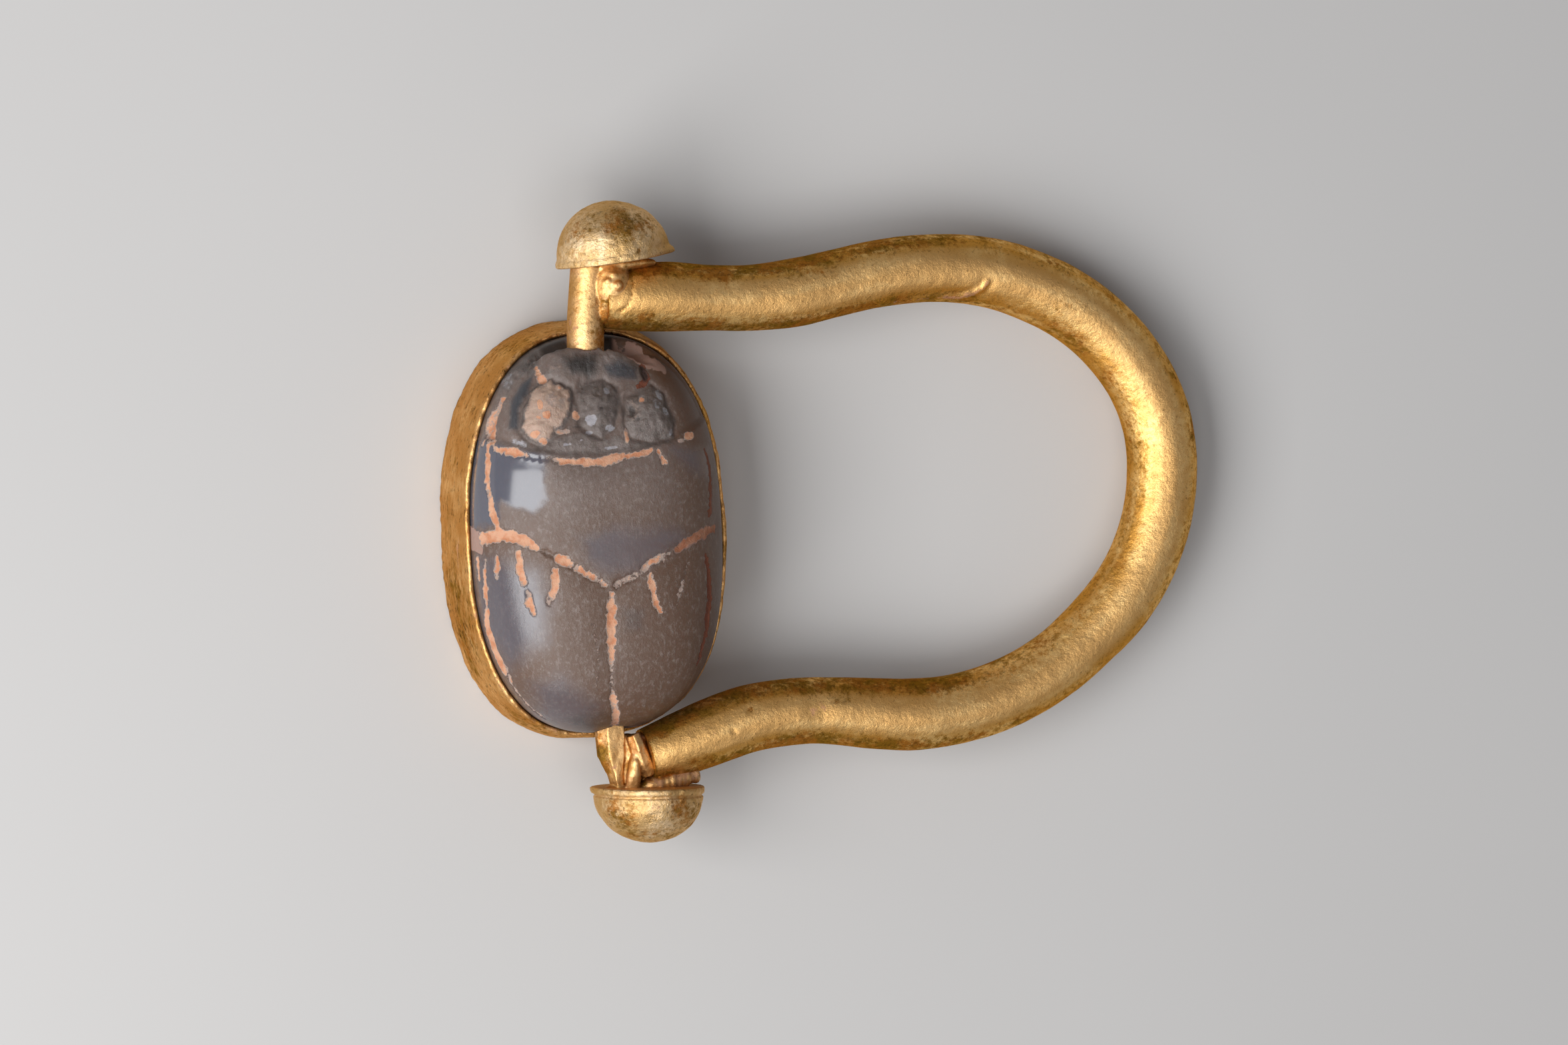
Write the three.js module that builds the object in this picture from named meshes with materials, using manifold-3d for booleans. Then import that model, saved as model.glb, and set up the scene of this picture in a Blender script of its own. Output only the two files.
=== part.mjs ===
// A gold swivel ring: a carved chalcedony scarab in a gold bezel, hung between the capped ends
// of a thick gold hoop. Millimetres. The origin is the centre of the scarab's flat seal face.
// +Y is towards the beetle's head, +Z out of its back, and the hoop lies towards +X, with its far
// end down on the ground that the seal face rests on.
import * as THREE from "three";
import { mergeVertices } from "three/addons/utils/BufferGeometryUtils.js";
import Module from "manifold-3d";

const wasm = await Module();
wasm.setup();

// Driving dimensions of the bezel and the stone.
const BEZEL_BASE = { halfWidth: 5.75, halfLength: 8.62 };
const BEZEL_RIM = { halfWidth: 5.42, halfLength: 8.32 };
const BEZEL_WALL = 0.2;
const STONE_GAP = 0.04;
const OUTLINE_POWER = 2.4;
// The oval isn't quite square to the swivel: it leans to +X by this much for each step to the head.
const OUTLINE_LEAN = 0.025;
const OUTLINE_SIDES = 72;
const RIM_HEIGHT_SIDES = 3.55;
const RIM_HEIGHT_ENDS = 2.4;
const STONE_ABOVE_RIM = 0.05;
const STONE_TOP = 7.0;
const DOME_RINGS = 12;
const HEAD_SLOPE = { start: 2, end: 7.3, drop: 0.3, power: 1.5 };
// The back's section: how long it stays flat before it falls, and how steeply it meets the rim.
const CROWN_SIDES = { flatness: 2.4, edge: 2 };
const CROWN_ENDS = { flatness: 4.4, edge: 3.2 };

// The swivel: its axis is parallel to Y at this height, and its stubs sit in two short holes.
const AXIS_HEIGHT = 4.1;
const HOLE_RADIUS = 0.95;
const HEAD_HOLE = { mouth: 9, floor: 5.7 };
const TAIL_HOLE = { mouth: -9, floor: -5.9 };
const HOLE_SIDES = 20;

// The hoop's middle lies a little towards the head from the middle of the stone.
const RING_SHIFT = 0.2;

// The hoop's centreline in its own plane: distance from the swivel axis, place along it, bar radius.
const HOOP_LINE = [
  [0.8, 9.34, 1.14],
  [2.2, 9.28, 1.36],
  [3.64, 9.2, 1.42],
  [5.4, 9.0, 1.34],
  [7.1, 8.85, 1.35],
  [8.9, 8.85, 1.4],
  [10.66, 9.08, 1.38],
  [12.7, 9.32, 1.39],
  [14.7, 9.38, 1.4],
  [16.8, 9.15, 1.43],
  [18.8, 8.58, 1.45],
  [20.75, 7.59, 1.46],
  [22.47, 6.22, 1.47],
  [23.82, 4.47, 1.46],
  [24.66, 2.45, 1.46],
  [24.84, 0.31, 1.46],
  [24.47, -1.76, 1.46],
  [23.62, -3.65, 1.45],
  [22.39, -5.26, 1.45],
  [20.86, -6.57, 1.4],
  [19.2, -7.65, 1.39],
  [17.36, -8.43, 1.42],
  [15.38, -8.85, 1.45],
  [13.32, -8.93, 1.48],
  [11.24, -8.68, 1.45],
  [9.04, -8.31, 1.36],
  [7.2, -8.23, 1.36],
  [5.6, -8.36, 1.37],
  [3.97, -8.74, 1.36],
  [2.5, -9.13, 1.26],
  [1.3, -9.34, 1.08],
];
const HOOP_STEPS = 74;
const HOOP_SIDES = 16;
const HOOP_REACH = 24.84;
const HOOP_END_RADIUS = 1.46;
// The hoop tilts down until its far end touches the ground.
const HOOP_TILT = Math.asin((AXIS_HEIGHT - HOOP_END_RADIUS) / HOOP_REACH);

// The pivot stubs.
const UPPER_PIN_RADIUS = 0.76;
const UPPER_PIN_SIDES = 16;
const UPPER_PIN_STEPS = 10;
const PIN_SEAT_GAP = 0.05;
const UPPER_PIN_LINE = [
  [0, 5.9],
  [0, 7.2],
  [0.34, 9.8],
  [0.45, 10.66],
];
const LOWER_PIN_SECTIONS = [
  { y: -6.5, left: -0.62, right: 0.46, half: 0.42 },
  { y: -8.3, left: -0.7, right: 0.42, half: 0.45 },
  { y: -9.35, left: -0.58, right: 0.36, half: 0.4 },
  { y: -10.3, left: -0.2, right: 0.32, half: 0.34 },
];
// The fold of the strip: where its ridge lies across it, and its corners' heights over the half.
const LOWER_PIN_FOLD = { ridge: 0.35, leftLow: 0.7, rightHigh: 0.85, leftHigh: 0.3 };

// The caps: a dome on a flared lip, its flat side towards the hoop's end.
const UPPER_CAP = { reach: 1.49, y: 10.86, lean: 4, nod: 0, radius: 2.2, lip: 0.22, height: 2.43 };
const LOWER_CAP = { reach: 1.32, y: -10.62, lean: 175.5, nod: 2, radius: 2.2, lip: 0.12, height: 2.2 };
const CAP_SIDES = 32;
const CAP_DOME_RINGS = 7;
const LIP_THICKNESS = 0.14;
const LIP_SHOULDER = 0.3;
const LIP_WAVES = [
  { count: 3, depth: 0.35, phase: 1 },
  { count: 7, depth: 0.2, phase: 0 },
];
const CAP_TOP_FLAT = 0.12;

// How the engraving's cutters are made.
const STROKE_STEP = 0.7;
const STROKE_SIDES = 6;
const STROKE_END_TAPER = 0.6;
const CHIP_SEGMENTS = { around: 20, upright: 14 };
const MERGE_DISTANCE = 1e-4;

const { clamp, lerp } = THREE.MathUtils;
const radians = THREE.MathUtils.degToRad;

// The point of the bezel's and stone's oval outline at an angle, for the given half sizes.
function outlinePoint(angle, halfWidth, halfLength, z) {
  const bend = (value) => Math.sign(value) * Math.abs(value) ** (2 / OUTLINE_POWER);
  const y = halfLength * bend(Math.sin(angle));
  return new THREE.Vector3(halfWidth * bend(Math.cos(angle)) + OUTLINE_LEAN * y, y, z);
}

// Where a place in plan lies in an oval: rho is 0 in the middle and 1 on the outline,
// and share is 0 towards the sides and 1 towards the head and tail.
function placeInOval(x, y, { halfWidth, halfLength }) {
  const across = Math.abs((x - OUTLINE_LEAN * y) / halfWidth) ** OUTLINE_POWER;
  const along = Math.abs(y / halfLength) ** OUTLINE_POWER;
  return {
    rho: Math.min(1, (across + along) ** (1 / OUTLINE_POWER)),
    share: along / Math.max(across + along, 1e-9),
  };
}

// The rim dips at the head and tail, where the pivots pass over it.
function rimHeight(share) {
  return lerp(RIM_HEIGHT_SIDES, RIM_HEIGHT_ENDS, share ** 3);
}

function inset(oval, distance) {
  return { halfWidth: oval.halfWidth - distance, halfLength: oval.halfLength - distance };
}

const STONE_BASE = inset(BEZEL_BASE, BEZEL_WALL + STONE_GAP);
const STONE_SHOULDER = inset(BEZEL_RIM, BEZEL_WALL + STONE_GAP);

// Height of the smooth beetle's back at a place in plan: boxy lengthwise, round crosswise,
// and falling towards the head.
function backHeight(x, y) {
  const { rho, share } = placeInOval(x, y, STONE_SHOULDER);
  const shoulder = rimHeight(share) + STONE_ABOVE_RIM;
  const nearHead = clamp((y - HEAD_SLOPE.start) / (HEAD_SLOPE.end - HEAD_SLOPE.start), 0, 1);
  const fall = 1 - HEAD_SLOPE.drop * nearHead ** HEAD_SLOPE.power;
  const flatness = lerp(CROWN_SIDES.flatness, CROWN_ENDS.flatness, share);
  const edge = lerp(CROWN_SIDES.edge, CROWN_ENDS.edge, share);
  const crown = (1 - rho ** flatness) ** (1 / edge);
  return shoulder + (STONE_TOP - shoulder) * fall * crown;
}

function onBack(x, y) {
  return new THREE.Vector3(x, y, backHeight(x, y));
}

function backNormal(x, y) {
  const step = 0.05;
  const slopeX = (backHeight(x + step, y) - backHeight(x - step, y)) / (2 * step);
  const slopeY = (backHeight(x, y + step) - backHeight(x, y - step)) / (2 * step);
  return new THREE.Vector3(-slopeX, -slopeY, 1).normalize();
}

// A closed skin over a stack of rings with the same count of points. The stack's ends are
// closed by fans, or the last ring joins the first one.
function skin(rings, joined = false) {
  const count = rings[0].length;
  const points = rings.flat();
  const faces = [];
  const bands = joined ? rings.length : rings.length - 1;
  for (let band = 0; band < bands; band++) {
    const low = band * count;
    const high = ((band + 1) % rings.length) * count;
    for (let j = 0; j < count; j++) {
      const k = (j + 1) % count;
      faces.push(low + j, low + k, high + k, low + j, high + k, high + j);
    }
  }
  if (!joined) {
    const middle = (ring) =>
      ring.reduce((sum, p) => sum.add(p), new THREE.Vector3()).divideScalar(ring.length);
    const first = points.push(middle(rings[0])) - 1;
    const last = points.push(middle(rings.at(-1))) - 1;
    const top = (rings.length - 1) * count;
    for (let j = 0; j < count; j++) {
      const k = (j + 1) % count;
      faces.push(first, k, j, last, top + j, top + k);
    }
  }
  const geometry = new THREE.BufferGeometry().setFromPoints(points);
  geometry.setIndex(faces);
  return facingOut(geometry);
}

// Turns every face round where the closed skin faces inwards.
function facingOut(geometry) {
  const position = geometry.getAttribute("position");
  const index = geometry.index.array;
  const [a, b, c] = [new THREE.Vector3(), new THREE.Vector3(), new THREE.Vector3()];
  let volume = 0;
  for (let i = 0; i < index.length; i += 3) {
    a.fromBufferAttribute(position, index[i]);
    b.fromBufferAttribute(position, index[i + 1]);
    c.fromBufferAttribute(position, index[i + 2]);
    volume += a.dot(b.cross(c));
  }
  if (volume < 0) {
    for (let i = 0; i < index.length; i += 3) {
      [index[i + 1], index[i + 2]] = [index[i + 2], index[i + 1]];
    }
  }
  return geometry;
}

// A bar along a smooth line, with its own radius at each control point.
function bar(points, radii, steps, sides) {
  const curve = new THREE.CatmullRomCurve3(points, false, "centripetal");
  const radiusCurve = new THREE.SplineCurve(radii.map((radius, i) => new THREE.Vector2(i, radius)));
  const rings = [];
  for (let i = 0; i <= steps; i++) {
    const t = i / steps;
    const centre = curve.getPoint(t);
    const tangent = curve.getTangent(t);
    const side = new THREE.Vector3(0, 0, 1).cross(tangent).normalize();
    const up = tangent.clone().cross(side);
    const radius = radiusCurve.getPoint(t).y;
    const ring = [];
    for (let j = 0; j < sides; j++) {
      const angle = (2 * Math.PI * j) / sides;
      ring.push(
        centre
          .clone()
          .addScaledVector(side, radius * Math.cos(angle))
          .addScaledVector(up, radius * Math.sin(angle)),
      );
    }
    rings.push(ring);
  }
  return skin(rings);
}

function solidOf(geometry) {
  const bare = geometry.clone();
  bare.deleteAttribute("normal");
  bare.deleteAttribute("uv");
  const merged = mergeVertices(bare, MERGE_DISTANCE);
  return new wasm.Manifold(
    new wasm.Mesh({
      numProp: 3,
      vertProperties: new Float32Array(merged.getAttribute("position").array),
      triVerts: new Uint32Array(merged.index.array),
    }),
  );
}

function geometryOf(solid) {
  const mesh = solid.getMesh();
  const geometry = new THREE.BufferGeometry();
  geometry.setAttribute("position", new THREE.BufferAttribute(mesh.vertProperties, 3));
  geometry.setIndex(new THREE.BufferAttribute(mesh.triVerts, 1));
  return geometry;
}

const material = (color, roughness, metalness) =>
  new THREE.MeshStandardMaterial({ color, roughness, metalness, flatShading: true });
const stoneFinish = material(0x77707a, 0.3, 0);
const goldFinish = material(0xc79a4b, 0.4, 1);
const paleGoldFinish = material(0xd6b06a, 0.4, 1);

function named(name, geometry, finish) {
  const mesh = new THREE.Mesh(geometry, finish);
  mesh.name = name;
  return mesh;
}

// The uncut stone: a flat seal face, a side that tapers inside the bezel, and the domed back.
function stoneBlank() {
  const oval = (halfSizes, z) =>
    Array.from({ length: OUTLINE_SIDES }, (_, i) => {
      const angle = (2 * Math.PI * i) / OUTLINE_SIDES;
      return outlinePoint(angle, halfSizes.halfWidth, halfSizes.halfLength, z);
    });
  const rings = [oval(STONE_BASE, 0)];
  for (let k = DOME_RINGS; k > 0; k--) {
    const rho = Math.sin((Math.PI / 2) * (k / DOME_RINGS));
    const halfSizes = {
      halfWidth: STONE_SHOULDER.halfWidth * rho,
      halfLength: STONE_SHOULDER.halfLength * rho,
    };
    rings.push(oval(halfSizes, 0).map((p) => onBack(p.x, p.y)));
  }
  return skin(rings);
}

// A cutter for one engraved stroke, following the back through places in plan.
function stroke(places, width) {
  const points = places.map(([x, y]) => onBack(x, y));
  const length = points.slice(1).reduce((sum, p, i) => sum + p.distanceTo(points[i]), 0);
  const half = width / 2;
  const isEnd = (i) => i === 0 || i === points.length - 1;
  const radii = points.map((_, i) => (isEnd(i) ? half * STROKE_END_TAPER : half));
  return bar(points, radii, Math.max(3, Math.round(length / STROKE_STEP)), STROKE_SIDES);
}

// A cutter for a shallow chipped hollow: a ball that dips below the back.
function chip({ x, y, ball, depth }) {
  const centre = onBack(x, y).addScaledVector(backNormal(x, y), ball - depth);
  const { around, upright } = CHIP_SEGMENTS;
  return new THREE.SphereGeometry(ball, around, upright).translate(centre.x, centre.y, centre.z);
}

// A short round hole on the swivel axis.
function pivotHole({ mouth, floor }) {
  const length = Math.abs(mouth - floor);
  const drill = new THREE.CylinderGeometry(HOLE_RADIUS, HOLE_RADIUS, length, HOLE_SIDES);
  return drill.translate(0, (mouth + floor) / 2, AXIS_HEIGHT);
}

// The engraving: places in plan along each stroke, and its width.
const STROKES = {
  headLine: { width: 0.34, places: [[-4.19, 3.97], [-3.31, 3.72], [-1.42, 3.28], [0, 3.25], [1.86, 3.46]] },
  headTick: { width: 0.24, places: [[2.17, 3.38], [2.36, 2.95]] },
  leftFlank: { width: 0.28, places: [[-4.42, 4.1], [-4.6, 2.9], [-4.58, 1.42], [-4.41, 0.7]] },
  rightFlank: { width: 0.22, places: [[4.33, 3.2], [4.5, 2.4], [4.44, 1.4], [4.31, 0.56]] },
  leftShoulder: { width: 0.42, places: [[-4.91, 0.36], [-4.4, 0.47], [-3.85, 0.39], [-3.1, -0.08]] },
  leftWing: { width: 0.3, places: [[-3.0, -0.15], [-2.38, -0.52], [-1.3, -1.22], [-0.5, -1.75]] },
  rightWing: { width: 0.28, places: [[-0.04, -1.84], [0.49, -1.67], [1.28, -1.1], [2.5, -0.68]] },
  rightShoulder: { width: 0.38, places: [[2.6, -0.65], [3.6, -0.25], [4.55, -0.06]] },
  suture: { width: 0.32, places: [[-0.28, -2.18], [-0.41, -3.8], [-0.47, -5.3], [-0.4, -6.4], [-0.2, -7.2]] },
  leftSeam: { width: 0.3, places: [[-4.91, -0.54], [-4.95, -2.3], [-4.75, -3.9], [-4.1, -5.6], [-3.3, -6.85]] },
  rightSeam: { width: 0.28, places: [[3.97, -1.0], [4.05, -2.7], [3.76, -4.2], [3.3, -5.5]] },
  outerTick: { width: 0.2, places: [[-4.54, -0.39], [-4.59, -1.26]] },
  longTick: { width: 0.28, places: [[-3.8, -0.3], [-3.7, -1.28], [-3.44, -2.66]] },
  midTick: { width: 0.24, places: [[-2.49, -1.06], [-2.54, -1.77], [-2.79, -2.34]] },
  rightTick: { width: 0.22, places: [[1.4, -1.54], [1.46, -2.27], [1.7, -3.06]] },
  rightFaintTick: { width: 0.16, places: [[3.13, -1.24], [2.77, -1.99], [2.42, -2.82]] },
  cheekStroke: { width: 0.5, places: [[-3.75, 5.75], [-4.0, 5.1], [-4.15, 4.45]] },
  browNotch: { width: 0.3, places: [[2.13, 6.6], [1.97, 5.96]] },
};
const CHIPS = [
  { x: -2.1, y: 5.15, ball: 3.0, depth: 0.36 },
  { x: 0.05, y: 4.95, ball: 2.6, depth: 0.3 },
  { x: 2.15, y: 4.95, ball: 2.8, depth: 0.32 },
  { x: -3.3, y: 6.3, ball: 2.2, depth: 0.3 },
  { x: 3.0, y: 6.4, ball: 2.6, depth: 0.26 },
];

function scarab() {
  let solid = solidOf(stoneBlank());
  const cutters = [
    ...CHIPS.map(chip),
    ...Object.values(STROKES).map(({ places, width }) => stroke(places, width)),
    pivotHole(HEAD_HOLE),
    pivotHole(TAIL_HOLE),
  ];
  for (const cutter of cutters) solid = solid.subtract(solidOf(cutter));
  return named("scarab", geometryOf(solid), stoneFinish);
}

// The bezel: a thin band that flares outwards at its foot, open below and above.
function bezel() {
  const rings = [];
  for (let i = 0; i < OUTLINE_SIDES; i++) {
    const angle = (2 * Math.PI * i) / OUTLINE_SIDES;
    const at = (oval, z) => outlinePoint(angle, oval.halfWidth, oval.halfLength, z);
    const outer = at(BEZEL_RIM, 0);
    const height = rimHeight(placeInOval(outer.x, outer.y, BEZEL_RIM).share);
    rings.push([
      at(BEZEL_BASE, 0),
      at(BEZEL_RIM, height),
      at(inset(BEZEL_RIM, BEZEL_WALL), height),
      at(inset(BEZEL_BASE, BEZEL_WALL), 0),
    ]);
  }
  return named("bezel", skin(rings, true), goldFinish);
}

// A place given by its distance from the swivel axis in the hoop's tilted plane.
function inHoopPlane(reach, y) {
  return new THREE.Vector3(
    reach * Math.cos(HOOP_TILT),
    y,
    AXIS_HEIGHT - reach * Math.sin(HOOP_TILT),
  );
}

function upperPinBar(radius) {
  const points = UPPER_PIN_LINE.map(([x, y]) => new THREE.Vector3(x, y, AXIS_HEIGHT));
  const radii = points.map(() => radius);
  return bar(points, radii, UPPER_PIN_STEPS, UPPER_PIN_SIDES);
}

function upperPin() {
  return named("upper_pin", upperPinBar(UPPER_PIN_RADIUS), paleGoldFinish);
}

// The hoop's upper end is hollowed to hug the round stub.
function hoop() {
  const points = HOOP_LINE.map(([reach, y]) => inHoopPlane(reach, y));
  const radii = HOOP_LINE.map(([, , radius]) => radius);
  const whole = solidOf(bar(points, radii, HOOP_STEPS, HOOP_SIDES));
  const seat = solidOf(upperPinBar(UPPER_PIN_RADIUS + PIN_SEAT_GAP));
  return named("hoop", geometryOf(whole.subtract(seat)), goldFinish);
}

// The lower stub is a folded strip with a raised ridge, narrowing towards its cap.
function lowerPin() {
  const rings = LOWER_PIN_SECTIONS.map(({ y, left, right, half }) => {
    const { ridge, leftLow, rightHigh, leftHigh } = LOWER_PIN_FOLD;
    return [
      [left, -half * leftLow],
      [right, -half],
      [right, half * rightHigh],
      [lerp(left, right, ridge), half],
      [left, half * leftHigh],
    ].map(([x, z]) => new THREE.Vector3(x, y, AXIS_HEIGHT + z));
  });
  return named("lower_pin", skin(rings), goldFinish);
}

// A cap in its own frame: the flat underside at z = 0, the dome rising along +Z.
function cap(name, { reach, y, lean, nod, radius, lip, height }) {
  const ragged = (angle) =>
    LIP_WAVES.reduce((sum, wave) => sum + lip * wave.depth * Math.sin(wave.count * angle + wave.phase), lip);
  const ring = (radiusAt, z) =>
    Array.from({ length: CAP_SIDES }, (_, i) => {
      const angle = (2 * Math.PI * i) / CAP_SIDES;
      const r = radiusAt(angle);
      return new THREE.Vector3(r * Math.cos(angle), r * Math.sin(angle), z);
    });
  const rings = [
    ring((angle) => radius + ragged(angle), 0),
    ring((angle) => radius + ragged(angle), LIP_THICKNESS),
    ring(() => radius, LIP_SHOULDER),
  ];
  for (let k = 1; k < CAP_DOME_RINGS; k++) {
    const rise = (Math.PI / 2) * (k / CAP_DOME_RINGS);
    const z = LIP_SHOULDER + (height - LIP_SHOULDER) * Math.sin(rise);
    rings.push(ring(() => radius * Math.cos(rise), z));
  }
  rings.push(ring(() => CAP_TOP_FLAT * radius, height));
  const mesh = named(name, skin(rings), paleGoldFinish);
  mesh.position.copy(inHoopPlane(reach, y));
  mesh.rotation.set(radians(nod - 90), 0, radians(lean), "ZXY");
  return mesh;
}

const ring = new THREE.Group();
ring.position.y = RING_SHIFT;
ring.add(hoop(), upperPin(), lowerPin(), cap("upper_cap", UPPER_CAP), cap("lower_cap", LOWER_CAP));

const seal = new THREE.Group();
seal.add(scarab(), bezel());

const swivelRing = new THREE.Group();
swivelRing.add(ring, seal);

export default swivelRing;
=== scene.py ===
# %% [markdown]
# A gold swivel ring with a stone scarab. A beetle of blue-grey chalcedony sits in a thin gold
# bezel, and hangs on two pivot stubs between the capped ends of a thick gold hoop. All of it is
# old: the gold is satin, with olive and brown patina, and salmon earth fills the engraving.
#
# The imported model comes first, because it says where everything is. Each visible piece is then
# built in its place, so nothing is moved afterwards. Shapes are worked out in millimetres.

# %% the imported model
import math

import bpy
import numpy as np
from mathutils import Matrix, Vector


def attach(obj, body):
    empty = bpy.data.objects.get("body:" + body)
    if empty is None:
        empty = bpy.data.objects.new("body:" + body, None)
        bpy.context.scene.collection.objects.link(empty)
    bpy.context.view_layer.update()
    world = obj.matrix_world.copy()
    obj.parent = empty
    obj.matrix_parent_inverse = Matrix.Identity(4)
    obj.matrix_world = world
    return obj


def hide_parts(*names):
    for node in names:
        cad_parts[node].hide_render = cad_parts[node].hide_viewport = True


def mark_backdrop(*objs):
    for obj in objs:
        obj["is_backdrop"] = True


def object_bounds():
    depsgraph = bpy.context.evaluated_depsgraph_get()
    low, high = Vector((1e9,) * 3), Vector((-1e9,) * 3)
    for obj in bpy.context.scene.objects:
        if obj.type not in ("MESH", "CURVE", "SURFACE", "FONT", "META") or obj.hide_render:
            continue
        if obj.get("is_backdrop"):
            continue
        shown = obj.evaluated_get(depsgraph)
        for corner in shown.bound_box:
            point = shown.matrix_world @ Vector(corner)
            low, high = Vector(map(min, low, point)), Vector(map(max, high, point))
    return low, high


MM = 0.001
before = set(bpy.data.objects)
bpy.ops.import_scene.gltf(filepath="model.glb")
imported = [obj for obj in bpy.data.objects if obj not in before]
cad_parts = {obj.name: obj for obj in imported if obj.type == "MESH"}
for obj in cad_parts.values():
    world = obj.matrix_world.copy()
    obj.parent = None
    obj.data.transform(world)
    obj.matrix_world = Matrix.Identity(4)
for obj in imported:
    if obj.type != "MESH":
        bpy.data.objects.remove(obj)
cad_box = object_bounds()
print("CAD box in mm:", [[round(value / MM, 2) for value in corner] for corner in cad_box])

# %% [markdown]
# The camera looks down on the ring, a little from the left and from above. The ring lies on its
# seal face, so the photograph's upright view becomes a view from above. The place and the turn
# follow from one point of the swivel axis and where it shows in the photograph.

# %% the camera
PHOTO_SIZE = (2353, 1568)
PHOTO_AXIS_PIXEL = (898.05, 793.0)
PHOTO_MM_PER_PIXEL = 0.02703
AXIS_MIDDLE = Vector((0, 0.28, 4.1))
VIEW_FROM_LEFT = math.radians(12)
VIEW_FROM_HEAD = math.radians(5)
VIEW_ROLL = math.radians(4.28)
VIEW_DISTANCE = 300
SENSOR_WIDTH = 36


def turned_frame(forward, upward):
    """The turn that has these two directions as its first two axes."""
    forward = forward.normalized()
    upward = (upward - upward.dot(forward) * forward).normalized()
    return Matrix((forward, upward, forward.cross(upward))).transposed()


def make_camera():
    """The camera that sees the axis point where the photograph shows it."""
    pixels_away = VIEW_DISTANCE / PHOTO_MM_PER_PIXEL
    towards_camera = Vector((
        -math.sin(VIEW_FROM_LEFT) * math.cos(VIEW_FROM_HEAD),
        math.sin(VIEW_FROM_HEAD),
        math.cos(VIEW_FROM_LEFT) * math.cos(VIEW_FROM_HEAD),
    ))
    right = PHOTO_AXIS_PIXEL[0] - PHOTO_SIZE[0] / 2
    down = PHOTO_AXIS_PIXEL[1] - PHOTO_SIZE[1] / 2
    seen = turned_frame(
        Vector((right, -down, -pixels_away)),
        Vector((-math.sin(VIEW_ROLL), math.cos(VIEW_ROLL), 0)),
    )
    turn = turned_frame(-towards_camera, Vector((0, 1, 0))) @ seen.transposed()
    data = bpy.data.cameras.new("camera")
    data.sensor_width = SENSOR_WIDTH
    data.lens = pixels_away * SENSOR_WIDTH / PHOTO_SIZE[0]
    data.clip_start = 0.01
    camera = bpy.data.objects.new("camera", data)
    place = AXIS_MIDDLE + VIEW_DISTANCE * towards_camera
    camera.matrix_world = Matrix.Translation(place * MM) @ turn.to_4x4()
    bpy.context.scene.collection.objects.link(camera)
    bpy.context.scene.camera = camera
    return camera


camera = make_camera()
print("camera at", [round(value / MM, 1) for value in camera.location], "mm")

# %% [markdown]
# A few small helpers serve every piece. A mesh is made from arrays of points and faces, and
# numbers stored on its points can steer a material. Many pieces are a stack of rings, closed by
# a skin of four-sided faces.

# %% meshes from points and faces
def store(piece, title, values):
    """Keeps a number on each point of a piece, for its finish to read."""
    attribute = piece.data.attributes.get(title) or piece.data.attributes.new(title, "FLOAT", "POINT")
    attribute.data.foreach_set("value", np.asarray(values, np.float32))


def stored_values(piece, title):
    """The numbers that a piece keeps on its points."""
    values = np.empty(len(piece.data.vertices), np.float32)
    piece.data.attributes[title].data.foreach_get("value", values)
    return values


def make_piece(name, points, faces, finish=None, **point_values):
    """A smooth-shaded mesh object from points in millimetres, with values stored on its points."""
    data = bpy.data.meshes.new(name)
    data.from_pydata((np.asarray(points) * MM).tolist(), [], [list(map(int, face)) for face in faces])
    data.polygons.foreach_set("use_smooth", [True] * len(data.polygons))
    data.validate()
    if finish:
        data.materials.append(finish)
    piece = bpy.data.objects.new(name, data)
    bpy.context.scene.collection.objects.link(piece)
    for title, values in point_values.items():
        store(piece, title, values)
    return piece


def skin_faces(rings, count, joined=False):
    """Four-sided faces between rings of count points each, closed at the ends by fans of the
    last two points, or joined from the last ring to the first."""
    faces = []
    for band in range(rings if joined else rings - 1):
        low = band * count
        high = ((band + 1) % rings) * count
        for step in range(count):
            following = (step + 1) % count
            faces.append((low + step, low + following, high + following, high + step))
    if not joined:
        first = rings * count
        top = (rings - 1) * count
        for step in range(count):
            following = (step + 1) % count
            faces.append((first, following, step))
            faces.append((first + 1, top + step, top + following))
    return faces


def skin_points(rings):
    """The points of a stack of rings, and the middles of the first and the last one."""
    rings = np.asarray(rings)
    ends = np.array([rings[0].mean(axis=0), rings[-1].mean(axis=0)])
    return np.vstack([rings.reshape(-1, 3), ends])


# %% [markdown]
# A mesh is read back as arrays, so that one rule can move all its points along their normals. A
# closed mesh whose volume comes out negative is inside out, and is turned.

# %% points read and moved
def mesh_points(piece):
    """A piece's points in millimetres."""
    points = np.empty(len(piece.data.vertices) * 3)
    piece.data.vertices.foreach_get("co", points)
    return points.reshape(-1, 3) / MM


def move_points(piece, points):
    """Moves a piece's points to places in millimetres."""
    piece.data.vertices.foreach_set("co", (points * MM).ravel())
    piece.data.update()


def mesh_normals(piece):
    """The direction each point faces."""
    normals = np.empty(len(piece.data.vertices) * 3)
    piece.data.vertex_normals.foreach_get("vector", normals)
    return normals.reshape(-1, 3)


def face_outwards(piece):
    """Turns a closed mesh right side out, judged by the sign of its volume."""
    data = piece.data
    data.calc_loop_triangles()
    corners = np.array([triangle.vertices for triangle in data.loop_triangles])
    points = mesh_points(piece)
    a, b, c = points[corners[:, 0]], points[corners[:, 1]], points[corners[:, 2]]
    volume = np.einsum("ij,ij->", a, np.cross(b, c)) / 6
    if volume < 0:
        data.flip_normals()
    return abs(volume)


# %% [markdown]
# Nothing made by hand is even. Soft random values, the same on each run, come from a table of
# random numbers that is read smoothly between its cells.

# %% soft noise
NOISE_CELLS = 32


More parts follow.
